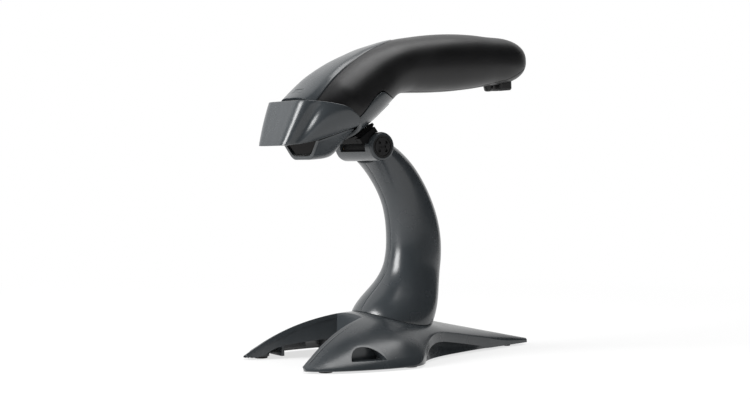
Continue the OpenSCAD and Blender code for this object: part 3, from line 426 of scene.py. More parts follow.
def round_rims(bm, radius, end=math.inf):
    """Rounds the edges between a sheet's outer skin and its rim, up to a distance to the rear."""
    bmesh.ops.remove_doubles(bm, verts=bm.verts, dist=WELD)
    bmesh.ops.dissolve_degenerate(bm, edges=bm.edges, dist=SLIVER)
    bmesh.ops.recalc_face_normals(bm, faces=bm.faces)
    skin = bm.faces.layers.int["skin"]
    rims = [e for e in bm.edges if {f[skin] for f in e.link_faces} == {OUTER, RIM}
            and max(v.co.y for v in e.verts) < end]
    if rims and radius:
        round_edges(bm, rims, radius, sizes().edge_steps)


def round_edges(bm, edges, radius, steps):
    bmesh.ops.bevel(bm, geom=edges, offset=radius, segments=steps, profile=0.5, affect="EDGES",
                    clamp_overlap=True)


def add_prism(bm, outline, low, high, place=Matrix()):
    """Closed block on a plan outline between two heights, or a height for each point, in mm."""
    ends = []
    for level in (low, high):
        heights = level if isinstance(level, list) else [level] * len(outline)
        ends.append([bm.verts.new(place @ Vector((x, y, z)) * MM)
                     for (x, y), z in zip(outline, heights)])
    for end in ends:
        bm.faces.new(end)
    join_loops(bm, *ends)


def join_loops(bm, low, high):
    """Faces between two closed loops of points."""
    for k in range(len(low)):
        n = (k + 1) % len(low)
        bm.faces.new([low[k], low[n], high[n], high[k]])


def ring(radius, x=0, y=0, count=32):
    return [(x + radius * cos(a), y + radius * sin(a)) for a in even(count, 0, 360)[:-1]]


def block(low_x, low_y, high_x, high_y):
    return [(low_x, low_y), (high_x, low_y), (high_x, high_y), (low_x, high_y)]


def plate(width, depth, grow=0):
    """Outline of a rectangle round the middle."""
    x, y = width / 2 + grow, depth / 2 + grow
    return block(-x, -y, x, y)


def on_spine(l):
    """Frame on the spine: X across, Y to the rear along it, Z out of the top."""
    return Matrix.Translation((0, *spine(l))) @ Matrix.Rotation(math.radians(pitch(l)), 4, "X")


def on_belly(l):
    return on_spine(l) @ Matrix.Translation((0, 0, -half_height(l)))


def store_mesh(bm, name):
    mesh = bpy.data.meshes.new(name)
    bm.to_mesh(mesh)
    bm.free()
    return mesh


def closed_mesh(bm, name):
    bmesh.ops.recalc_face_normals(bm, faces=bm.faces)
    return store_mesh(bm, name)


def place_object(name, data):
    obj = bpy.data.objects.new(name, data)
    bpy.context.scene.collection.objects.link(obj)
    return obj


def combine(bm, tool, operation):
    """Boolean of a mesh with a tool mesh; both are used up."""
    objects = [place_object("work", closed_mesh(part, "work")) for part in (bm, tool)]
    cutter = objects[0].modifiers.new("cut", "BOOLEAN")
    cutter.operation, cutter.object, cutter.solver = operation, objects[1], "EXACT"
    ready = objects[0].evaluated_get(bpy.context.evaluated_depsgraph_get())
    result = bmesh.new()
    result.from_mesh(ready.to_mesh())
    for obj in objects:
        mesh = obj.data
        bpy.data.objects.remove(obj)
        bpy.data.meshes.remove(mesh)
    if not result.faces:
        raise RuntimeError("A cut left nothing")
    return result


def make_piece(bm, node, body, finish):
    """Turns a finished mesh into a piece that stands for a CAD node and rides on its body."""
    name = node + "_moulded"
    mesh = closed_mesh(bm, name)
    if not mesh.polygons:
        raise RuntimeError(f"{name} has no faces")
    mesh.polygons.foreach_set("use_smooth", [True] * len(mesh.polygons))
    mesh.set_sharp_from_angle(angle=math.radians(CREASE))
    mesh.materials.append(FINISHES[finish])
    obj = place_object(name, mesh)
    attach(obj, body)
    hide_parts(node)


# Materials

# Slow change of tone and polish over a moulding, marks of tumbled metal, waves in a pressed pane
# and fibres of paper, in millimetres
CLOUD_SIZE, MARK_SIZE, WAVE_SIZE, FIBRE_SIZE = 14, 0.8, 9, 2


def add_node(tree, kind, links=(), **settings):
    """Adds a node, sets its options and sockets, and links (output, input) pairs into it."""
    new = tree.nodes.new(kind)
    for key, value in settings.items():
        if key in new.inputs:
            new.inputs[key].default_value = value
        else:
            setattr(new, key, value)
    for output, name in links:
        tree.links.new(output, new.inputs[name])
    return new


def new_material(name):
    """Empty material, its node tree and the coordinates of what it is on."""
    material = bpy.data.materials.new(name)
    material.use_nodes = True
    tree = material.node_tree
    tree.nodes.clear()
    return material, tree, add_node(tree, "ShaderNodeTexCoord").outputs["Object"]


def per_mm(size):
    """Noise scale whose features are size millimetres across."""
    return 1 / (size * MM)


def moulded_plastic(name, colour, fleck, rough, grain, depth, gloss=0.5):
    """Moulded plastic: even colour, grain from the mould and a skin that polishes unevenly."""
    material, tree, place = new_material(name)
    cloud = add_node(tree, "ShaderNodeTexNoise", [(place, "Vector")], Scale=per_mm(CLOUD_SIZE),
                     Detail=3.0).outputs["Fac"]
    tone = add_node(tree, "ShaderNodeMix", [(cloud, "Factor")], data_type="RGBA",
                    A=(*colour, 1), B=(*fleck, 1))
    polish = add_node(tree, "ShaderNodeMapRange", [(cloud, "Value")],
                      **{"From Min": 0.3, "From Max": 0.7,
                         "To Min": rough - 0.03, "To Max": rough + 0.05})
    pits = add_node(tree, "ShaderNodeTexNoise", [(place, "Vector")], Scale=per_mm(grain), Detail=4.0)
    bump = add_node(tree, "ShaderNodeBump", [(pits.outputs["Fac"], "Height")], Strength=0.5,
                    Distance=depth * MM)
    skin = add_node(tree, "ShaderNodeBsdfPrincipled",
                    [(tone.outputs["Result"], "Base Color"), (polish.outputs[0], "Roughness"),
                     (bump.outputs[0], "Normal")], IOR=1.53, **{"Specular IOR Level": gloss})
    add_node(tree, "ShaderNodeOutputMaterial", [(skin.outputs[0], "Surface")])
    return material


def tumbled_metal(name, colour, rough):
    """Small metal part: bright, with fine marks from tumbling."""
    material, tree, place = new_material(name)
    marks = add_node(tree, "ShaderNodeTexNoise", [(place, "Vector")], Scale=per_mm(MARK_SIZE),
                     Detail=5.0)
    polish = add_node(tree, "ShaderNodeMapRange", [(marks.outputs["Fac"], "Value")],
                      **{"To Min": rough - 0.1, "To Max": rough + 0.12})
    skin = add_node(tree, "ShaderNodeBsdfPrincipled", [(polish.outputs[0], "Roughness")],
                    Metallic=1.0, **{"Base Color": (*colour, 1)})
    add_node(tree, "ShaderNodeOutputMaterial", [(skin.outputs[0], "Surface")])
    return material


def smoked_window(name, colour):
    """Smoked acrylic: a deep, smooth pane that mostly shows reflections."""
    material, tree, place = new_material(name)
    wave = add_node(tree, "ShaderNodeTexNoise", [(place, "Vector")], Scale=per_mm(WAVE_SIZE),
                    Detail=1.0)
    bump = add_node(tree, "ShaderNodeBump", [(wave.outputs["Fac"], "Height")], Strength=0.1,
                    Distance=0.02 * MM)
    skin = add_node(tree, "ShaderNodeBsdfPrincipled", [(bump.outputs[0], "Normal")], IOR=1.49,
                    Roughness=0.05, **{"Specular IOR Level": 0.06, "Base Color": (*colour, 1)})
    add_node(tree, "ShaderNodeOutputMaterial", [(skin.outputs[0], "Surface")])
    return material


def make_finishes(colours):
    """Every finish of the scanner, by the name of what it is.

    Grain from a mould is finer than this in life; it is drawn coarse enough to show.
    """
    return {
        # ABS from a spark-eroded mould: deep black with a soft, broad sheen
        "black": moulded_plastic("Black_ABS_satin", colours.black, linear("#171718"),
                                 rough=0.4, grain=0.55, depth=0.03, gloss=0.35),
        # ABS from a polished mould: blue-grey with a clear, narrow highlight
        "slate": moulded_plastic("Slate_ABS_semi_gloss", colours.slate, linear("#35393c"),
                                 rough=0.24, grain=0.7, depth=0.012),
        # Glass-filled nylon of the cup: black and dull, with its colour also set darker than the
        # black ABS as painted shade, so that it stays dark under the head
        "cup": moulded_plastic("Black_nylon_matt_painted_shade", linear("#0b0b0c"), linear("#111112"),
                               rough=0.6, grain=0.6, depth=0.03, gloss=0.12),
        # Moulded rubber: dull and slightly dusty
        "rubber": moulded_plastic("Black_rubber_moulded", linear("#161616"), linear("#222221"),
                                  rough=0.75, grain=0.8, depth=0.05),
        # Glass-filled nylon of inner parts: matt with visible speckle
        "inner": moulded_plastic("Black_nylon_moulded", linear("#1d1e20"), linear("#2a2b2d"),
                                 rough=0.55, grain=0.9, depth=0.04),
        # Solder mask over glass-fibre board: green and faintly uneven
        "board": moulded_plastic("Green_solder_mask", linear("#17492c"), linear("#1f5c38"),
                                 rough=0.35, grain=1.2, depth=0.02),
        # Tinted light pipe, unlit: smooth, and nearly as dark as the shell round it
        "light": moulded_plastic("Tinted_light_pipe", linear("#1d2326"), linear("#252c30"),
                                 rough=0.2, grain=3.0, depth=0.01, gloss=0.3),
        # Zinc-plated steel of screws and inner metal: pale grey with blurred reflections
        "steel": tumbled_metal("Zinc_plated_steel", linear("#b9bcc0"), rough=0.3),
        # Plain bearing bronze: warm brown metal, a little duller than the steel
        "bronze": tumbled_metal("Bearing_bronze", linear("#b08d57"), rough=0.35),
        # Smoked acrylic of the scan window: nearly black and smooth
        "window": smoked_window("Smoked_acrylic_window", linear("#080606")),
    }


class ScannerSizes(bpy.types.PropertyGroup):
    """Sizes that give the shells their look."""

    edge: bpy.props.FloatProperty(
        name="Shell edge", description="Radius of the shells' edges at their seams",
        default=0.45 * MM, min=0, max=1 * MM, unit="LENGTH")
    base_edge: bpy.props.FloatProperty(
        name="Base edge", description="Radius of the base's moulded edges",
        default=0.7 * MM, min=0, max=1.5 * MM, unit="LENGTH")
    edge_steps: bpy.props.IntProperty(
        name="Edge steps", description="Faces across a rounded edge", default=3, min=1, max=6)


class ScannerColours(bpy.types.PropertyGroup):
    """Colours of the mouldings."""

    black: bpy.props.FloatVectorProperty(
        name="Black", description="Colour of the handle, its cover and the hinge caps",
        subtype="COLOR", size=3, default=linear("#101011"), min=0, max=1)
    slate: bpy.props.FloatVectorProperty(
        name="Slate", description="Colour of the head, the trigger, the neck and the base",
        subtype="COLOR", size=3, default=linear("#2d3134"), min=0, max=1)


class ScannerStage(bpy.types.PropertyGroup):
    """Camera and light."""

    lens: bpy.props.FloatProperty(
        name="Lens", description="Focal length on a 36 mm wide sensor", default=67.72, min=20,
        max=200, unit="CAMERA")
    key_power: bpy.props.FloatProperty(
        name="Key light", description="Power of the soft box in front", default=22, min=0,
        unit="POWER")
    top_power: bpy.props.FloatProperty(
        name="Top light", description="Power of the soft box overhead", default=11, min=0,
        unit="POWER")


class SCANNER_OT_finishes(bpy.types.Operator):
    """Makes the finishes and dresses the CAD pieces that stay as they are"""

    bl_idname = "scanner.finishes"
    bl_label = "Make finishes"

    DRESSED = {
        "rubber": ("base_feet", "cup_pads", "window_gasket"),
        "steel": ("base_weight", "weight_screws", "neck_screws", "neck_bolts", "hinge_bolt",
                  "hinge_nut", "cup_magnet", "engine_bracket", "board_screws", "housing_screws",
                  "trigger_pin", "trigger_spring"),
        "bronze": ("hinge_washers",),
        "window": ("scan_window", "engine_lens"),
        "inner": ("scan_engine", "beeper", "decoder_chip", "trigger_switch", "stand_sensor",
                  "trigger_cradle"),
        "board": ("main_board",),
        "light": ("indicator_lens", "indicator_led"),
        "slate": ("hinge_yoke",),
        "black": ("hinge_caps",),
    }

    def execute(self, context):
        FINISHES.update(make_finishes(context.scene.scanner_colours))
        for finish, nodes in self.DRESSED.items():
            for node in nodes:
                slots = frame["nodes"][node].data.materials
                slots.clear()
                slots.append(FINISHES[finish])
        return {"FINISHED"}


class SCANNER_OT_base(bpy.types.Operator):
    """Builds the moulded base with its notch, pockets, recessed arch, ribs and foot posts"""

    bl_idname = "scanner.base"
    bl_label = "Build base"

    ROWS, POCKET_ROWS, ROW_GAP = 132, 20, 0.6
    INNER_COLUMNS, OUTER_COLUMNS, MIDDLE_COLUMNS, LIP_POINTS = 12, 16, 12, 4
    FIRST_COLUMN, MIDDLE_SHARE, PRONG_LEAST, NEAR, MIDDLE_GAP = 0.05, 0.45, 1, 0.01, 0.02
    ROUNDED_END = 160

    # Lip over the rear arch and the groove behind it
    RIM_LIP, LIP_LEAST, LIP_THICKNESS, RIM_WALL = 5.4, 0.04, 1.5, 0.5
    RECESS_DEPTH, GROOVE_DEPTH, GROOVE_SHARE, GROOVE_WALL = 1.2, 5, 0.7, 1.2

    # Side pockets: a round opening cut off by a sill, with a flat back
    POCKET_S, POCKET_RADIUS, POCKET_LEVEL, POCKET_SILL, POCKET_FLOOR = 33, 10.8, 0.6, 4.5, 38
    POCKET_REACH = math.sqrt(POCKET_RADIUS ** 2 - (POCKET_SILL - POCKET_LEVEL) ** 2)
    POCKET_LEAST, POCKET_LAP, POCKET_LIFT, POCKET_WALL, POCKET_CEILING = 0.05, 1.2, 0.03, 1.3, 0.3

    # Wall round the notch: its foot's height, and how far it starts from the tips and the skin
    NOTCH_FEET = [(-8, 0), (8, 0.5), (16, 5), (30, 8), (60, 11)]
    NOTCH_TIP, NOTCH_DROP, NOTCH_LEAST, NOTCH_NUDGE = 3, 0.6, 1.6, 0.03

    RIB_PLACES, RIB_THICKNESS, RIB_FOOT, RIB_COLUMNS = (20, 58, 112), 1.8, 0.3, 10
    FOOT_PLACES = [(35.2, 12, 4), (-35.2, 12, 4), (42, 62, 5), (-42, 62, 5), (0, 166, 2.4)]
    WEIGHT_SCREWS, WEIGHT_TOP = [(17, 66), (-17, 66), (0, 94)], 15.5
    FOOT_POST_WALL, SCREW_POST, POST_LEAST = 0.8, 3.4, 0.1

    def pocket_rows(self):
        return [self.POCKET_S + self.POCKET_REACH * cos(a) for a in even(self.POCKET_ROWS, 180, 0)]

    def rows(self):
        """Distances from the prong tips, with one at the notch's end and more at the pockets."""
        plain = [s for s in even(self.ROWS, 0, BASE_LENGTH) if abs(s - NOTCH_END) > 1
                 and abs(s - self.POCKET_S) > self.POCKET_REACH + self.ROW_GAP]
        return sorted(plain + self.pocket_rows() + [NOTCH_END])

    def edges(self, s):
        """Inner and outer edge of a prong, from the middle."""
        edge = min(base_lines(s)[0], BASE_WIDTH / 2)
        inner = notch_edge(s) if s <= NOTCH_END else min(NOTCH_HALF, self.MIDDLE_SHARE * edge)
        return min(inner, edge - self.PRONG_LEAST), edge

    def pocket_edges(self, s):
        """Where the skin meets a pocket's top and its sill; one line runs on from its ends."""
        near = min(max(s, self.POCKET_S - self.POCKET_REACH), self.POCKET_S + self.POCKET_REACH)
        top = self.POCKET_LEVEL + math.sqrt(self.POCKET_RADIUS ** 2 - (near - self.POCKET_S) ** 2)
        reach = [mound_reach(z, near) for z in (top, self.POCKET_SILL)]
        reach[0] = min(max(reach[0], self.POCKET_FLOOR + self.POCKET_LEAST), reach[1])
        inner, edge = self.edges(near)
        return [mix(*self.edges(s), (x - inner) / (edge - inner)) for x in reach]

    def lip(self, s):
        """Rim, lip, groove and foot under a side's edge, each as an outer and an inner point."""
        edge, rim = self.edges(s)[1], base_lines(s)[1]
        foot = min(max(rim - self.RIM_LIP, 0), rim - self.LIP_LEAST)
        groove = edge - min(self.GROOVE_DEPTH, self.GROOVE_SHARE * foot)
        wall = edge - min(self.RECESS_DEPTH, foot)
        inside = edge - BASE_WALL
        back = min(inside, groove - self.GROOVE_WALL)
        roof = foot + min(self.LIP_THICKNESS, foot)
        return [((edge, rim), (inside, max(rim - self.RIM_WALL, roof))),
                ((edge, foot), (inside, roof)), ((groove, foot), (back, roof)),
                ((wall, 0), (inside, 0))]

    def section(self, s):
        """Outer points of a row, from the left rim's foot to the right rim's foot."""
        inner, edge = self.edges(s)
        top, sill = self.pocket_edges(s)
        shares = [0] + even(self.INNER_COLUMNS - 2, self.FIRST_COLUMN, 1)
        places = [mix(inner, top, k) for k in shares]
        places += [mix(sill, edge, sin(90 * k)) for k in even(self.OUTER_COLUMNS)]
        half = [(x, mound(x, s)) for x in places] + [outer for outer, inside in self.lip(s)[1:]]
        across = [inner * k for k in even(self.MIDDLE_COLUMNS, -1, 1)[1:-1]]
        line = [(-x, z) for x, z in half[::-1]] + [(x, mound(x, s)) for x in across] + half
        return [on_base(x, s, z) for x, z in line]

    def inside(self, outer, rows, pocket):
        """The same rows moved in by the wall."""
        points = np.array(outer)
        normal = np.cross(np.gradient(points, axis=0), np.gradient(points, axis=1))
        normal *= np.sign(normal[..., 2:3] + 1e-9)
        normal /= np.linalg.norm(normal, axis=2, keepdims=True) + 1e-9
        inner = points - normal * BASE_WALL
        last = points.shape[1] - 1
        for i, s in enumerate(rows):
            for k, (outside, (x, z)) in enumerate(self.lip(s)[::-1]):
                inner[i, k], inner[i, last - k] = on_base(-x, s, z), on_base(x, s, z)
            if abs(s - self.POCKET_S) < self.POCKET_REACH + self.NEAR:
                for column in (pocket, pocket + 1, last - pocket, last - pocket - 1):
                    inner[i, column] = points[i, column]
                    inner[i, column, 0] -= math.copysign(BASE_WALL, points[i, column, 0])
        middle = last // 2
        inner[:, :middle, 0] = np.minimum(inner[:, :middle, 0], -self.MIDDLE_GAP)
        inner[:, middle + 1:, 0] = np.maximum(inner[:, middle + 1:, 0], self.MIDDLE_GAP)
        inner[..., 2] = np.maximum(inner[..., 2], FOOT_GAP)
        return inner.tolist()

    def execute(self, context):
        bm = bmesh.new()
        rows = self.rows()
        outer = [self.section(s) for s in rows]
        first = self.INNER_COLUMNS + self.OUTER_COLUMNS + self.LIP_POINTS - 1
        last = first + self.MIDDLE_COLUMNS
        pocket = last + self.INNER_COLUMNS - 1
        pockets = (pocket, len(outer[0]) - 2 - pocket)

        def keep(i, j):
            if first <= j < last:
                return rows[i] >= NOTCH_END - self.NEAR
            middle = (rows[i] + rows[i + 1]) / 2
            return j not in pockets or abs(middle - self.POCKET_S) > self.POCKET_REACH
        add_sheet(bm, outer, self.inside(outer, rows, pocket), keep)
        round_rims(bm, sizes().base_edge, (BASE_FRONT + self.ROUNDED_END) * MM)
        for side in (-1, 1):
            self.add_pocket(bm, side)
        self.add_notch_wall(bm)
        for s in self.RIB_PLACES:
            self.add_rib(bm, s)
        for x, s, r in self.FOOT_PLACES:
            self.add_post(bm, ring(r + self.FOOT_POST_WALL, x, s), FOOT_GAP)
        for x, s in self.WEIGHT_SCREWS:
            self.add_post(bm, ring(self.SCREW_POST, x, s), self.WEIGHT_TOP)
        make_piece(bm, "base_shell", "stand", "slate")
        return {"FINISHED"}

    def add_pocket(self, bm, side):
        """Ceiling, back and sill of a side pocket, behind its hole in the skin."""
        outer, inner = [], []
        floor, behind = self.POCKET_FLOOR, self.POCKET_FLOOR - self.POCKET_WALL
        low, under = self.POCKET_SILL - self.POCKET_LIFT, self.POCKET_SILL - self.POCKET_WALL
        for s in self.pocket_rows():
            top, sill = self.pocket_edges(s)
            high, over = mound(top, s) + self.POCKET_LIFT, mound(top, s) + self.POCKET_CEILING
            front = sill - self.POCKET_LAP
            line = [(max(top - self.POCKET_LAP, floor), high), (floor, high), (floor, low),
                    (front, low)]
            back = [(top - self.POCKET_WALL, over), (behind, over), (behind, under),
                    (front, under)]
            for rows, points in ((outer, line), (inner, back)):
                rows.append([on_base(side * x, s, z) for x, z in points])
        add_sheet(bm, outer, inner)

    def add_post(self, bm, outline, low):
        """Post from a level up into the skin."""
        tops = [max(FOOT_GAP + mound(x, s) - BASE_WALL / 2, low + self.POST_LEAST)
                for x, s in outline]
        add_prism(bm, [(x, BASE_FRONT + s) for x, s in outline], low, tops)

    def add_notch_wall(self, bm):
        """Wall round the notch, down from the skin's edge."""
        flank = [(notch_edge(s), s) for s in even(24, self.NOTCH_TIP, NOTCH_END)]
        path = flank + [(x, NOTCH_END) for x in even(8, NOTCH_HALF, -NOTCH_HALF)[1:-1]]
        path += [(-x, s) for x, s in flank[::-1]]
        outer, inner = [], []
        for x, s in path:
            top = mound(x, s)
            low = min(through(self.NOTCH_FEET, s), top - self.NOTCH_LEAST)
            nudge = np.array([math.copysign(self.NOTCH_NUDGE, x), self.NOTCH_NUDGE, 0])
            on_flank, at_end = s < NOTCH_END or abs(x) >= NOTCH_HALF, s >= NOTCH_END
            wall = np.array([math.copysign(BASE_WALL, x) * on_flank, BASE_WALL * at_end, 0])
            outer.append([on_base(x, s, z) + nudge for z in (top - self.NOTCH_DROP, low)])
            inner.append([p + wall for p in outer[-1]])
        add_sheet(bm, outer, inner)

    def add_rib(self, bm, s):
        """Stiffening plate under the skin, from side to side."""
        edge = base_lines(s)[0] - 2 * BASE_WALL
        start = notch_edge(s) + BASE_WALL / 2 if s < NOTCH_END else 0
        foot = max(base_lines(s)[1] - self.RIM_LIP, self.RIB_FOOT)
        for side in (-1, 1):
            front = [[on_base(side * x, s, z) for z in (mound(x, s) - BASE_WALL / 2, foot)]
                     for x in even(self.RIB_COLUMNS, start, edge)]
            add_sheet(bm, front, [[p + np.array([0, self.RIB_THICKNESS, 0]) for p in line]
                                  for line in front])


class SCANNER_OT_neck(bpy.types.Operator):
    """Builds the neck's two halves with the parting line between them"""

    bl_idname = "scanner.neck"
    bl_label = "Build neck"

    HALVES = (("neck_left", 1), ("neck_right", -1))
    WALL, EDGE_SHARE, DRUM_RADIUS = 2.4, 0.7, 8.2
    SCREWS, POST_RADIUS, POST_COVER = (-4, 26), 3.6, 1.2

    # Radius, start and end of a screw's way: a pilot hole on the left, a head's bore on the right
    SCREW_WAYS = {1: (1.25, -6, 10), -1: (3.2, -BASE_WIDTH, -6)}

    def screw_place(self, a):
        return (BASE_FRONT + NECK_CENTRE[0] + NECK_RADIUS * cos(a),
                NECK_CENTRE[1] + NECK_RADIUS * sin(a))

    def add_way(self, bm, side, a):
        radius, start, end = self.SCREW_WAYS[side]
        add_prism(bm, ring(radius, *self.screw_place(a)), start, end, SIDEWAYS)

    def execute(self, context):
        for node, side in self.HALVES:
            bm, tool = bmesh.new(), bmesh.new()

            def point(t, th, inset):
                p = neck_point(t, th, inset)
                return np.array([side * p[0], BASE_FRONT + p[1], p[2]])
            add_layers(bm, even(56), even(28, 180, 0), point, (0, self.WALL))
            round_rims(bm, self.EDGE_SHARE * sizes().edge)
            drum = ring(self.DRUM_RADIUS + SEAM, *joint_place("cup_tilt"), 64)
            add_prism(tool, drum, -BASE_WIDTH, BASE_WIDTH, SIDEWAYS)
            for a in self.SCREWS:
                self.add_way(tool, side, a)
            bm = combine(bm, tool, "DIFFERENCE")
            for a in self.SCREWS:
                post, way = bmesh.new(), bmesh.new()
                ends = sorted((side * PART_GAP, side * (through(NECK_WIDTHS, a) - self.POST_COVER)))
                add_prism(post, ring(self.POST_RADIUS, *self.screw_place(a)), *ends, SIDEWAYS)
                self.add_way(way, side, a)
                bm.from_mesh(closed_mesh(combine(post, way, "DIFFERENCE"), "post"))
            make_piece(bm, node, "stand", "slate")
        return {"FINISHED"}


class SCANNER_OT_cup(bpy.types.Operator):
    """Builds the cup: its knuckle, its arm with a flange over the drum and the scanner's saddle"""

    bl_idname = "scanner.cup"
    bl_label = "Build cup"

    KNUCKLE_HALF, KNUCKLE_RADIUS, BORE, BORE_HALF = 12, 6.2, 2.55, 20
    ARM = ((0, 0), (4.2, 0), (4.2, 8.7), (4.3, 11.4), (-9.2, 11.4), (-9.2, 8.3), (-5.4, 5.5))
    ARM_HALF = KNUCKLE_HALF - 0.02
    FLANGE = ((-9.1, 8.2), (-9.1, 11.3), (3.2, 11.3))
    FLANGE_HALF, FLANGE_RADIUS, FLANGE_TURN = 16.5, 8.45, (24, -44)
    SADDLE_ENDS, SADDLE_TURN, SADDLE_GAP = (-9.2, 4.3), 27, 0.5
    SADDLE_THICKNESS, SADDLE_THINNING = 3, 0.55
    PEG_RADIUS, PEG_LOW, PEG_TOP = 3, -1.5, 3.2

    # Seats of the magnet and the two pads: place across, radius and depth, open at the top
    SEATS_L, SEATS_TOP = 21, 9
    SEATS = ((0, 3.05, -3.9), (-7, 1.85, -1.2), (7, 1.85, -1.2))

    def saddle_point(self, y, f, share):
        """Point on the saddle: on its top where share is 0, on its underside where it is 1."""
        low, high = self.SADDLE_ENDS
        thinning = self.SADDLE_THINNING * ((2 * y - low - high) / (high - low)) ** 2
        depth = self.SADDLE_GAP + share * self.SADDLE_THICKNESS * (1 - thinning)
        along = np.array([0, cos(pitch(SEAT_L)), sin(pitch(SEAT_L))])
        return body_at(SEAT_L, 180 + f * self.SADDLE_TURN, -depth) + y * along

    def execute(self, context):
        hinge = (Matrix.Translation((0, *joint_place("cup_tilt")))
                 @ Matrix.Rotation(math.radians(pitch(SEAT_L)), 4, "X") @ SIDEWAYS)
        bm, arm, flange, saddle, peg, tool = (bmesh.new() for k in range(6))
        add_prism(bm, ring(self.KNUCKLE_RADIUS, count=64), -self.KNUCKLE_HALF, self.KNUCKLE_HALF,
                  hinge)
        add_prism(arm, self.ARM, -self.ARM_HALF, self.ARM_HALF, hinge)
        skirt = [(self.FLANGE_RADIUS * sin(a), self.FLANGE_RADIUS * cos(a))
                 for a in even(10, *self.FLANGE_TURN)]
        add_prism(flange, [*skirt, *self.FLANGE], -self.FLANGE_HALF, self.FLANGE_HALF, hinge)
        add_layers(saddle, even(16, *self.SADDLE_ENDS), even(24, -1, 1), self.saddle_point, (1, 0))
        add_prism(peg, ring(self.PEG_RADIUS), self.PEG_LOW, self.PEG_TOP, on_belly(PEG_L))
        for part in (arm, flange, saddle, peg):
            bm = combine(bm, part, "UNION")
        add_prism(tool, ring(self.BORE), -self.BORE_HALF, self.BORE_HALF, hinge)
        for x, radius, depth in self.SEATS:
            add_prism(tool, ring(radius, x), depth, self.SEATS_TOP, on_belly(self.SEATS_L))
        bm = combine(bm, tool, "DIFFERENCE")
        make_piece(bm, "cup", "cup", "cup")
        return {"FINISHED"}


class SCANNER_OT_handle(bpy.types.Operator):
    """Builds the handle shell, the cover under it and the cable socket in the cover"""

    bl_idname = "scanner.handle"
    bl_label = "Build handle"

    COVER_END_GAP = 0.3
    SCREWS, SCREW_BORE, BORE_ENDS = (61, SPINE_LENGTH - 33), 2.5, (-5, SHELL_WALL + 2)

    # Socket and plug: width, depth and height; the rim's rise and how far it draws in at its mouth
    SOCKET_L, SOCKET_DROP, SOCKET_SINK = SPINE_LENGTH - 17.4, 3.8, 4
    SOCKET, PLUG, CUT_LOW = (13.6, 9.6, 13), (11.8, 6.8, 10.5), -10
    MOUTH = ((0, 0.5), (0.5, 0.12), (1.2, 0))
    SOCKET_CORNER, CORNER_STEPS = 2.2, 5

    # Lug under the tail: radius and height of its rings
    NUB_L = SPINE_LENGTH - 26.6
    NUB = ((3.2, 1.4), (2.9, -1), (2.5, -2.7), (1.9, -3.2), (0.9, -3.4), (0, -3.4))

    def shell_point(self, u, f, inset):
        start = through(RIM_FRONT, abs(shell_angle(f, RIM_L)) / RIM_TURN)
        l = mix(start, SPINE_LENGTH, u)
        return body_at(l, shell_angle(f, l), inset)

    def cover_point(self, u, f, inset):
        l = mix(HOUSING_END + SEAM, SPINE_LENGTH - self.COVER_END_GAP, u)
        return body_at(l, 180 + f * seam_turn(l), inset)

    def execute(self, context):
        bm = bmesh.new()
        add_layers(bm, even(96), even(64, -1, 1), self.shell_point, (0, SHELL_WALL))
        round_rims(bm, sizes().edge)
        make_piece(bm, "handle_shell", "scanner", "black")
        bm, tool = bmesh.new(), bmesh.new()
        add_layers(bm, even(72), even(24, -1, 1), self.cover_point, (0, SHELL_WALL))
        round_rims(bm, sizes().edge)
        add_prism(tool, plate(*self.SOCKET[:2], SEAM), self.CUT_LOW, self.SOCKET[2],
                  on_belly(self.SOCKET_L))
        for l in self.SCREWS:
            add_prism(tool, ring(self.SCREW_BORE), *self.BORE_ENDS, on_belly(l))
        bm = combine(bm, tool, "DIFFERENCE")
        self.add_nub(bm)
        make_piece(bm, "handle_cover", "scanner", "black")
        self.build_socket()
        return {"FINISHED"}

    def build_socket(self):
        """Socket for the cable's plug, with a soft edge round its mouth."""
        bm, tool = bmesh.new(), bmesh.new()
        place = on_belly(self.SOCKET_L)
        levels = [(rise - self.SOCKET_DROP, inset) for rise, inset in self.MOUTH]
        levels.append((self.SOCKET[2] - self.SOCKET_SINK, 0))
        loops = [[bm.verts.new(place @ Vector((x, y, z)) * MM)
                  for x, y in plate(*self.SOCKET[:2], -inset)] for z, inset in levels]
        for low, high in zip(loops, loops[1:]):
            join_loops(bm, low, high)
        upright = [bm.edges.get(pair) for low, high in zip(loops, loops[1:])
                   for pair in zip(low, high)]
        for end in (loops[0], loops[-1]):
            bm.faces.new(end)
        bmesh.ops.recalc_face_normals(bm, faces=bm.faces)
        round_edges(bm, upright, self.SOCKET_CORNER * MM, self.CORNER_STEPS)
        add_prism(tool, plate(*self.PLUG[:2]), -self.SOCKET_DROP - 1,
                  self.PLUG[2] - self.SOCKET_DROP, place)
        bm = combine(bm, tool, "DIFFERENCE")
        make_piece(bm, "cable_socket", "scanner", "black")

    def add_nub(self, bm):
        """Small lug under the tail, round at its end."""
        place = on_belly(self.NUB_L)
        outer = [[place @ Vector((r * cos(a), r * sin(a), z)) for a in even(32, 0, 360)]
                 for r, z in self.NUB]
        top = place @ Vector((0, 0, self.NUB[0][1]))
        add_sheet(bm, outer, [[top for p in row] for row in outer])
        bmesh.ops.remove_doubles(bm, verts=bm.verts, dist=SLIVER)


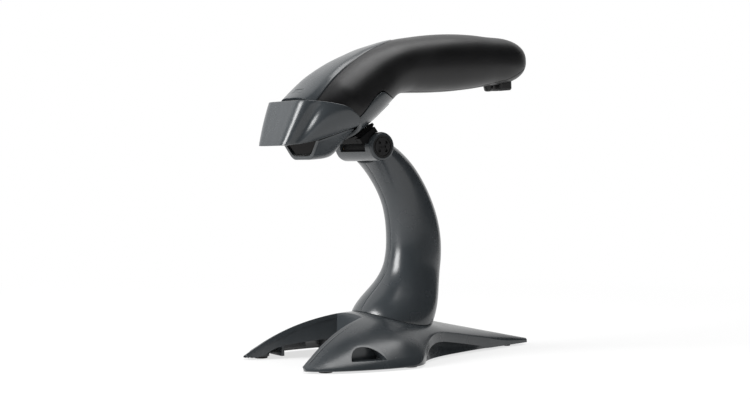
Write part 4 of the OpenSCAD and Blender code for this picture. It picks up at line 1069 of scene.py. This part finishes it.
class SCANNER_OT_head(bpy.types.Operator):
    """Builds the nose bezel, the insert on top, the lower housing and the window frame"""

    bl_idname = "scanner.head"
    bl_label = "Build head"

    # Brow plate under the bezel, laid along its lower edge as far as one station
    BROW = [(-10.4, 1), (10.4, 1), (19.6, 18.6), (-19.6, 18.6)]
    BROW_LIFT, BROW_THICKNESS, BROW_STATION = 0.3, 1.8, 6

    # Tongue from the bezel under the shell
    TONGUE, TONGUE_DEPTHS = (-4, -7.6, 4, 5.4), (1.6, 0.1)

    INDICATOR_L, INDICATOR_SIZE, INDICATOR_CUT = 8, (9.2, 3.6), (-2, 7)
    PEG_HOLE, PEG_HOLE_ENDS = 3.3, (-5, 7)

    # Room in front of the trigger for its swing: its depth there and its angle
    FRONT_PLAY = TRIGGER_PLAY + 7.2 * sin(4)
    HOUSING_EDGE, HOUSING_SHARE = 0.7, 0.8

    # Up to 1 a row lies before the trigger's opening and up to 2 beside it; a column between -1
    # and 1 lies across it
    ROWS = even(10) + even(10, 1, 2)[1:] + [2.5, 3]
    COLUMNS = even(10, -2, -1)[:-1] + even(4, -1, 1) + even(10, 1, 2)[1:]

    def execute(self, context):
        self.build_bezel()
        self.build_insert()
        self.build_housing()
        self.build_frame()
        return {"FINISHED"}

    def build_bezel(self):
        bm = bmesh.new()
        add_layers(bm, even(160, -1, 1), even(12), nose_point, (0, NOSE_WALL))
        round_rims(bm, sizes().edge)
        start, end = np.array(NOSE_LOW)[[0, self.BROW_STATION], 1:]
        tilt = math.atan2(*(end - start)[::-1])
        place = Matrix.Translation((0, *(SPINE_START + start))) @ Matrix.Rotation(tilt, 4, "X")
        add_prism(bm, self.BROW, self.BROW_LIFT, self.BROW_LIFT + self.BROW_THICKNESS, place)
        top = half_height(0) - SHELL_WALL - SEAM
        add_prism(bm, block(*self.TONGUE), *[top - d for d in self.TONGUE_DEPTHS], on_spine(0))
        make_piece(bm, "nose_bezel", "scanner", "slate")

    def build_insert(self):
        bm, tool = bmesh.new(), bmesh.new()
        add_layers(bm, even(88), even(24, -1, 1), insert_point, (1, 0))
        round_rims(bm, sizes().edge)
        ends = [half_height(self.INDICATOR_L) + d for d in self.INDICATOR_CUT]
        add_prism(tool, plate(*self.INDICATOR_SIZE), *ends, on_spine(self.INDICATOR_L))
        bm = combine(bm, tool, "DIFFERENCE")
        make_piece(bm, "top_insert", "scanner", "slate")

    def housing_point(self, r, c, inset):
        front, rear = TRIGGER_L[0] - self.FRONT_PLAY, TRIGGER_L[1] + TRIGGER_PLAY
        if r <= 1:
            l = mix(through(HOUSING_FRONT, min(abs(c) / 2, 1)), front, r)
        else:
            l = mix(front, rear, r - 1) if r <= 2 else mix(rear, HOUSING_END, r - 2)
        across, rim = min(abs(c), 1), seam_turn(l)
        opening = angle_at(l, (TRIGGER_HALF + TRIGGER_PLAY) * across)
        inner = min(opening, rim * across * self.HOUSING_SHARE)
        turn = mix(inner, rim, max(abs(c) - 1, 0))
        return body_at(l, 180 + math.copysign(turn, c), inset)

    def build_housing(self):
        bm, tool = bmesh.new(), bmesh.new()

        def keep(i, j):
            return not (1 <= self.ROWS[i] < 2 and -1 <= self.COLUMNS[j] < 1)
        add_layers(bm, self.ROWS, self.COLUMNS, self.housing_point, (0, SHELL_WALL), keep)
        round_rims(bm, self.HOUSING_EDGE * sizes().edge)
        add_prism(tool, ring(self.PEG_HOLE), *self.PEG_HOLE_ENDS, on_belly(PEG_L))
        bm = combine(bm, tool, "DIFFERENCE")
        make_piece(bm, "lower_housing", "scanner", "slate")

    def build_frame(self):
        bm = bmesh.new()
        add_sheet(bm, *[[jaw_section(u, inset) for u in even(32)] for inset in (0, JAW_WALL)])
        round_rims(bm, sizes().edge)
        make_piece(bm, "window_frame", "scanner", "slate")


class SCANNER_OT_trigger(bpy.types.Operator):
    """Builds the trigger's finger face and gives its spring a mesh of its own"""

    bl_idname = "scanner.trigger"
    bl_label = "Build trigger"

    PROUD, EDGE_SHARE = 1, 1.4

    # Hinge block and the nub that works the switch: outline and heights over the belly
    HINGE, HINGE_ENDS = (-6, 4.5, 6, 8.3), (1.5, 5)
    NUB, NUB_ENDS = (1.3, 0, -5.4), (1.5, 4.87)
    SPRING_KEEP = 0.7

    def point(self, l, f, inset):
        return body_at(l, 180 + math.copysign(angle_at(l, abs(f) * TRIGGER_HALF), f), inset)

    def execute(self, context):
        bm = bmesh.new()
        add_layers(bm, even(24, *TRIGGER_L), even(16, -1, 1), self.point, (-self.PROUD, SHELL_WALL))
        round_rims(bm, self.EDGE_SHARE * sizes().edge)
        place = on_belly(sum(TRIGGER_L) / 2)
        add_prism(bm, block(*self.HINGE), *self.HINGE_ENDS, place)
        add_prism(bm, ring(*self.NUB), *self.NUB_ENDS, place)
        make_piece(bm, "trigger", "trigger", "slate")
        spring = frame["nodes"]["trigger_spring"]
        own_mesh(spring)
        return {"FINISHED"}


def facing(place, ahead):
    """Place of a camera or lamp that looks along a direction."""
    return Matrix.Translation(place) @ ahead.to_track_quat("-Z", "Y").to_matrix().to_4x4()


def seen(tree):
    """1 for what the camera sees, straight or in gloss and glass, and 0 for light on things."""
    path = add_node(tree, "ShaderNodeLightPath").outputs
    both = path["Is Camera Ray"]
    for ray in ("Is Glossy Ray", "Is Transmission Ray"):
        both = add_node(tree, "ShaderNodeMath", [(both, 0), (path[ray], 1)],
                        operation="MAXIMUM").outputs[0]
    return both


class SCANNER_OT_stage(bpy.types.Operator):
    """Sets up the floor, the light and the camera"""

    bl_idname = "scanner.stage"
    bl_label = "Set up stage"

    # Camera in millimetres, its direction in plan, and the horizon's rise in pixels of the photo
    CAMERA_PLACE, CAMERA_AHEAD, HORIZON_RISE = (676.9, -478.0, 109.43), (-0.8291, 0.5590), 31.3
    SENSOR, CLIP_START = 36, 0.01

    # Lamps and floor in metres; the floor turns from paper to plain white between two distances
    KEY_PLACE, KEY_SIZE = (-0.21, -1.18, 0.55), (0.55, 0.8)
    TOP_PLACE, TOP_SIZE = (0.1, 0.2, 1.3), (0.9, 0.9)
    AIM = (0, 0, 0.1)
    FLOOR_RADIUS = 6
    FLOOR_FADE = {"From Min": 0.12, "From Max": 0.6, "To Min": 0.7, "To Max": 1.0}
    FILL = 0.32

    # Black flag: turns from the camera's direction and rises in degrees, distance in metres
    FLAG_TURN, FLAG_RISE, FLAG_REACH = (-100, 135), (0, 80), 2.4

    def execute(self, context):
        stage = context.scene.scanner_stage
        self.add_camera(stage.lens)
        self.add_floor()
        self.add_flag()
        self.add_light("Key_softbox", self.KEY_PLACE, self.KEY_SIZE, stage.key_power)
        self.add_light("Top_softbox", self.TOP_PLACE, self.TOP_SIZE, stage.top_power)
        self.add_world(context.scene)
        context.scene.view_settings.view_transform = "Standard"
        return {"FINISHED"}

    def add_camera(self, lens):
        data = bpy.data.cameras.new("Camera")
        data.lens, data.sensor_width, data.clip_start = lens, self.SENSOR, self.CLIP_START
        camera = place_object("Camera", data)
        drop = math.atan2(self.HORIZON_RISE, lens / self.SENSOR * PHOTO_SIZE[0])
        ahead = Vector((*self.CAMERA_AHEAD, -math.tan(drop)))
        camera.matrix_world = facing(Vector(self.CAMERA_PLACE) * MM, ahead)
        bpy.context.scene.camera = camera

    def add_floor(self):
        """Pale floor that fades into the white background and keeps the object's shadow."""
        bm = bmesh.new()
        bmesh.ops.create_circle(bm, cap_ends=True, segments=96, radius=self.FLOOR_RADIUS)
        mesh = store_mesh(bm, "Floor")
        # Matt paper: white and even, with a hint of fibre
        material, tree, place = new_material("White_paper_sweep")
        fibre = add_node(tree, "ShaderNodeTexNoise", [(place, "Vector")], Scale=per_mm(FIBRE_SIZE),
                         Detail=3.0)
        bump = add_node(tree, "ShaderNodeBump", [(fibre.outputs["Fac"], "Height")], Strength=0.1,
                        Distance=0.05 * MM)
        paper = add_node(tree, "ShaderNodeBsdfDiffuse", [(bump.outputs[0], "Normal")],
                         Color=(*linear("#f3f3f3"), 1))
        glow = add_node(tree, "ShaderNodeEmission", Strength=1.0)
        reach = add_node(tree, "ShaderNodeVectorMath", [(place, 0)], operation="LENGTH")
        fade = add_node(tree, "ShaderNodeMapRange", [(reach.outputs["Value"], "Value")],
                        **self.FLOOR_FADE)
        share = add_node(tree, "ShaderNodeMath", [(seen(tree), 0), (fade.outputs[0], 1)],
                         operation="MULTIPLY")
        sheet = add_node(tree, "ShaderNodeMixShader", [(share.outputs[0], 0), (paper.outputs[0], 1),
                                                       (glow.outputs[0], 2)])
        add_node(tree, "ShaderNodeOutputMaterial", [(sheet.outputs[0], "Surface")])
        mesh.materials.append(material)
        place_object("Floor", mesh)

    def add_flag(self):
        """Black cloth on the camera's side, out of its view, that keeps the dark plastic dark."""
        bm = bmesh.new()
        centre = math.degrees(math.atan2(-self.CAMERA_AHEAD[1], -self.CAMERA_AHEAD[0]))
        columns = even(32, *[centre + turn for turn in self.FLAG_TURN])
        rows = []
        for rise in even(12, *self.FLAG_RISE):
            ways = [Vector((cos(a) * cos(rise), sin(a) * cos(rise), sin(rise))) for a in columns]
            rows.append([bm.verts.new(self.FLAG_REACH * way) for way in ways])
        for low, high in zip(rows, rows[1:]):
            for k in range(len(columns) - 1):
                bm.faces.new([low[k], low[k + 1], high[k + 1], high[k]])
        mesh = store_mesh(bm, "Black_flag")
        # Velvet: takes up nearly all light
        material, tree = new_material("Black_velvet_cloth")[:2]
        cloth = add_node(tree, "ShaderNodeBsdfDiffuse", Color=(*linear("#191919"), 1))
        add_node(tree, "ShaderNodeOutputMaterial", [(cloth.outputs[0], "Surface")])
        mesh.materials.append(material)
        flag = place_object("Black_flag", mesh)
        flag.visible_camera = flag.visible_diffuse = flag.visible_shadow = False

    def add_light(self, name, place, size, power):
        data = bpy.data.lights.new(name, "AREA")
        data.shape = "RECTANGLE"
        data.size, data.size_y = size
        data.energy = power
        place_object(name, data).matrix_world = facing(place, Vector(self.AIM) - Vector(place))

    def add_world(self, scene):
        """White to the eye and in reflections, with a dim fill on the object."""
        world = bpy.data.worlds.new("Studio")
        scene.world = world
        world.use_nodes = True
        tree = world.node_tree
        tree.nodes.clear()
        white = (*linear("#ffffff"), 1)
        fill = add_node(tree, "ShaderNodeBackground", Color=white, Strength=self.FILL)
        back = add_node(tree, "ShaderNodeBackground", Color=white, Strength=1.0)
        blend = add_node(tree, "ShaderNodeMixShader", [(seen(tree), 0), (fill.outputs[0], 1),
                                                       (back.outputs[0], 2)])
        add_node(tree, "ShaderNodeOutputWorld", [(blend.outputs[0], "Surface")])


class SCANNER_PT_panel(bpy.types.Panel):
    """Steps that build the scanner's looks"""

    bl_idname = "SCANNER_PT_panel"
    bl_label = "Scanner"
    bl_space_type = "VIEW_3D"
    bl_region_type = "UI"
    bl_category = "Scanner"

    def draw(self, context):
        for step in STEPS:
            self.layout.operator(step.bl_idname)


STEPS = (SCANNER_OT_finishes, SCANNER_OT_base, SCANNER_OT_neck, SCANNER_OT_cup, SCANNER_OT_handle,
         SCANNER_OT_head, SCANNER_OT_trigger, SCANNER_OT_stage)
GROUPS = (("scanner_sizes", ScannerSizes), ("scanner_colours", ScannerColours),
          ("scanner_stage", ScannerStage))


def register():
    for name, group in GROUPS:
        bpy.utils.register_class(group)
        setattr(bpy.types.Scene, name, bpy.props.PointerProperty(type=group))
    for step in STEPS:
        bpy.utils.register_class(step)
    bpy.utils.register_class(SCANNER_PT_panel)


def unregister():
    bpy.utils.unregister_class(SCANNER_PT_panel)
    for step in reversed(STEPS):
        bpy.utils.unregister_class(step)
    for name, group in reversed(GROUPS):
        delattr(bpy.types.Scene, name)
        bpy.utils.unregister_class(group)


def main():
    register()
    for step in STEPS:
        group, name = step.bl_idname.split(".")
        getattr(getattr(bpy.ops, group), name)()


if __name__ == "__main__":
    main()
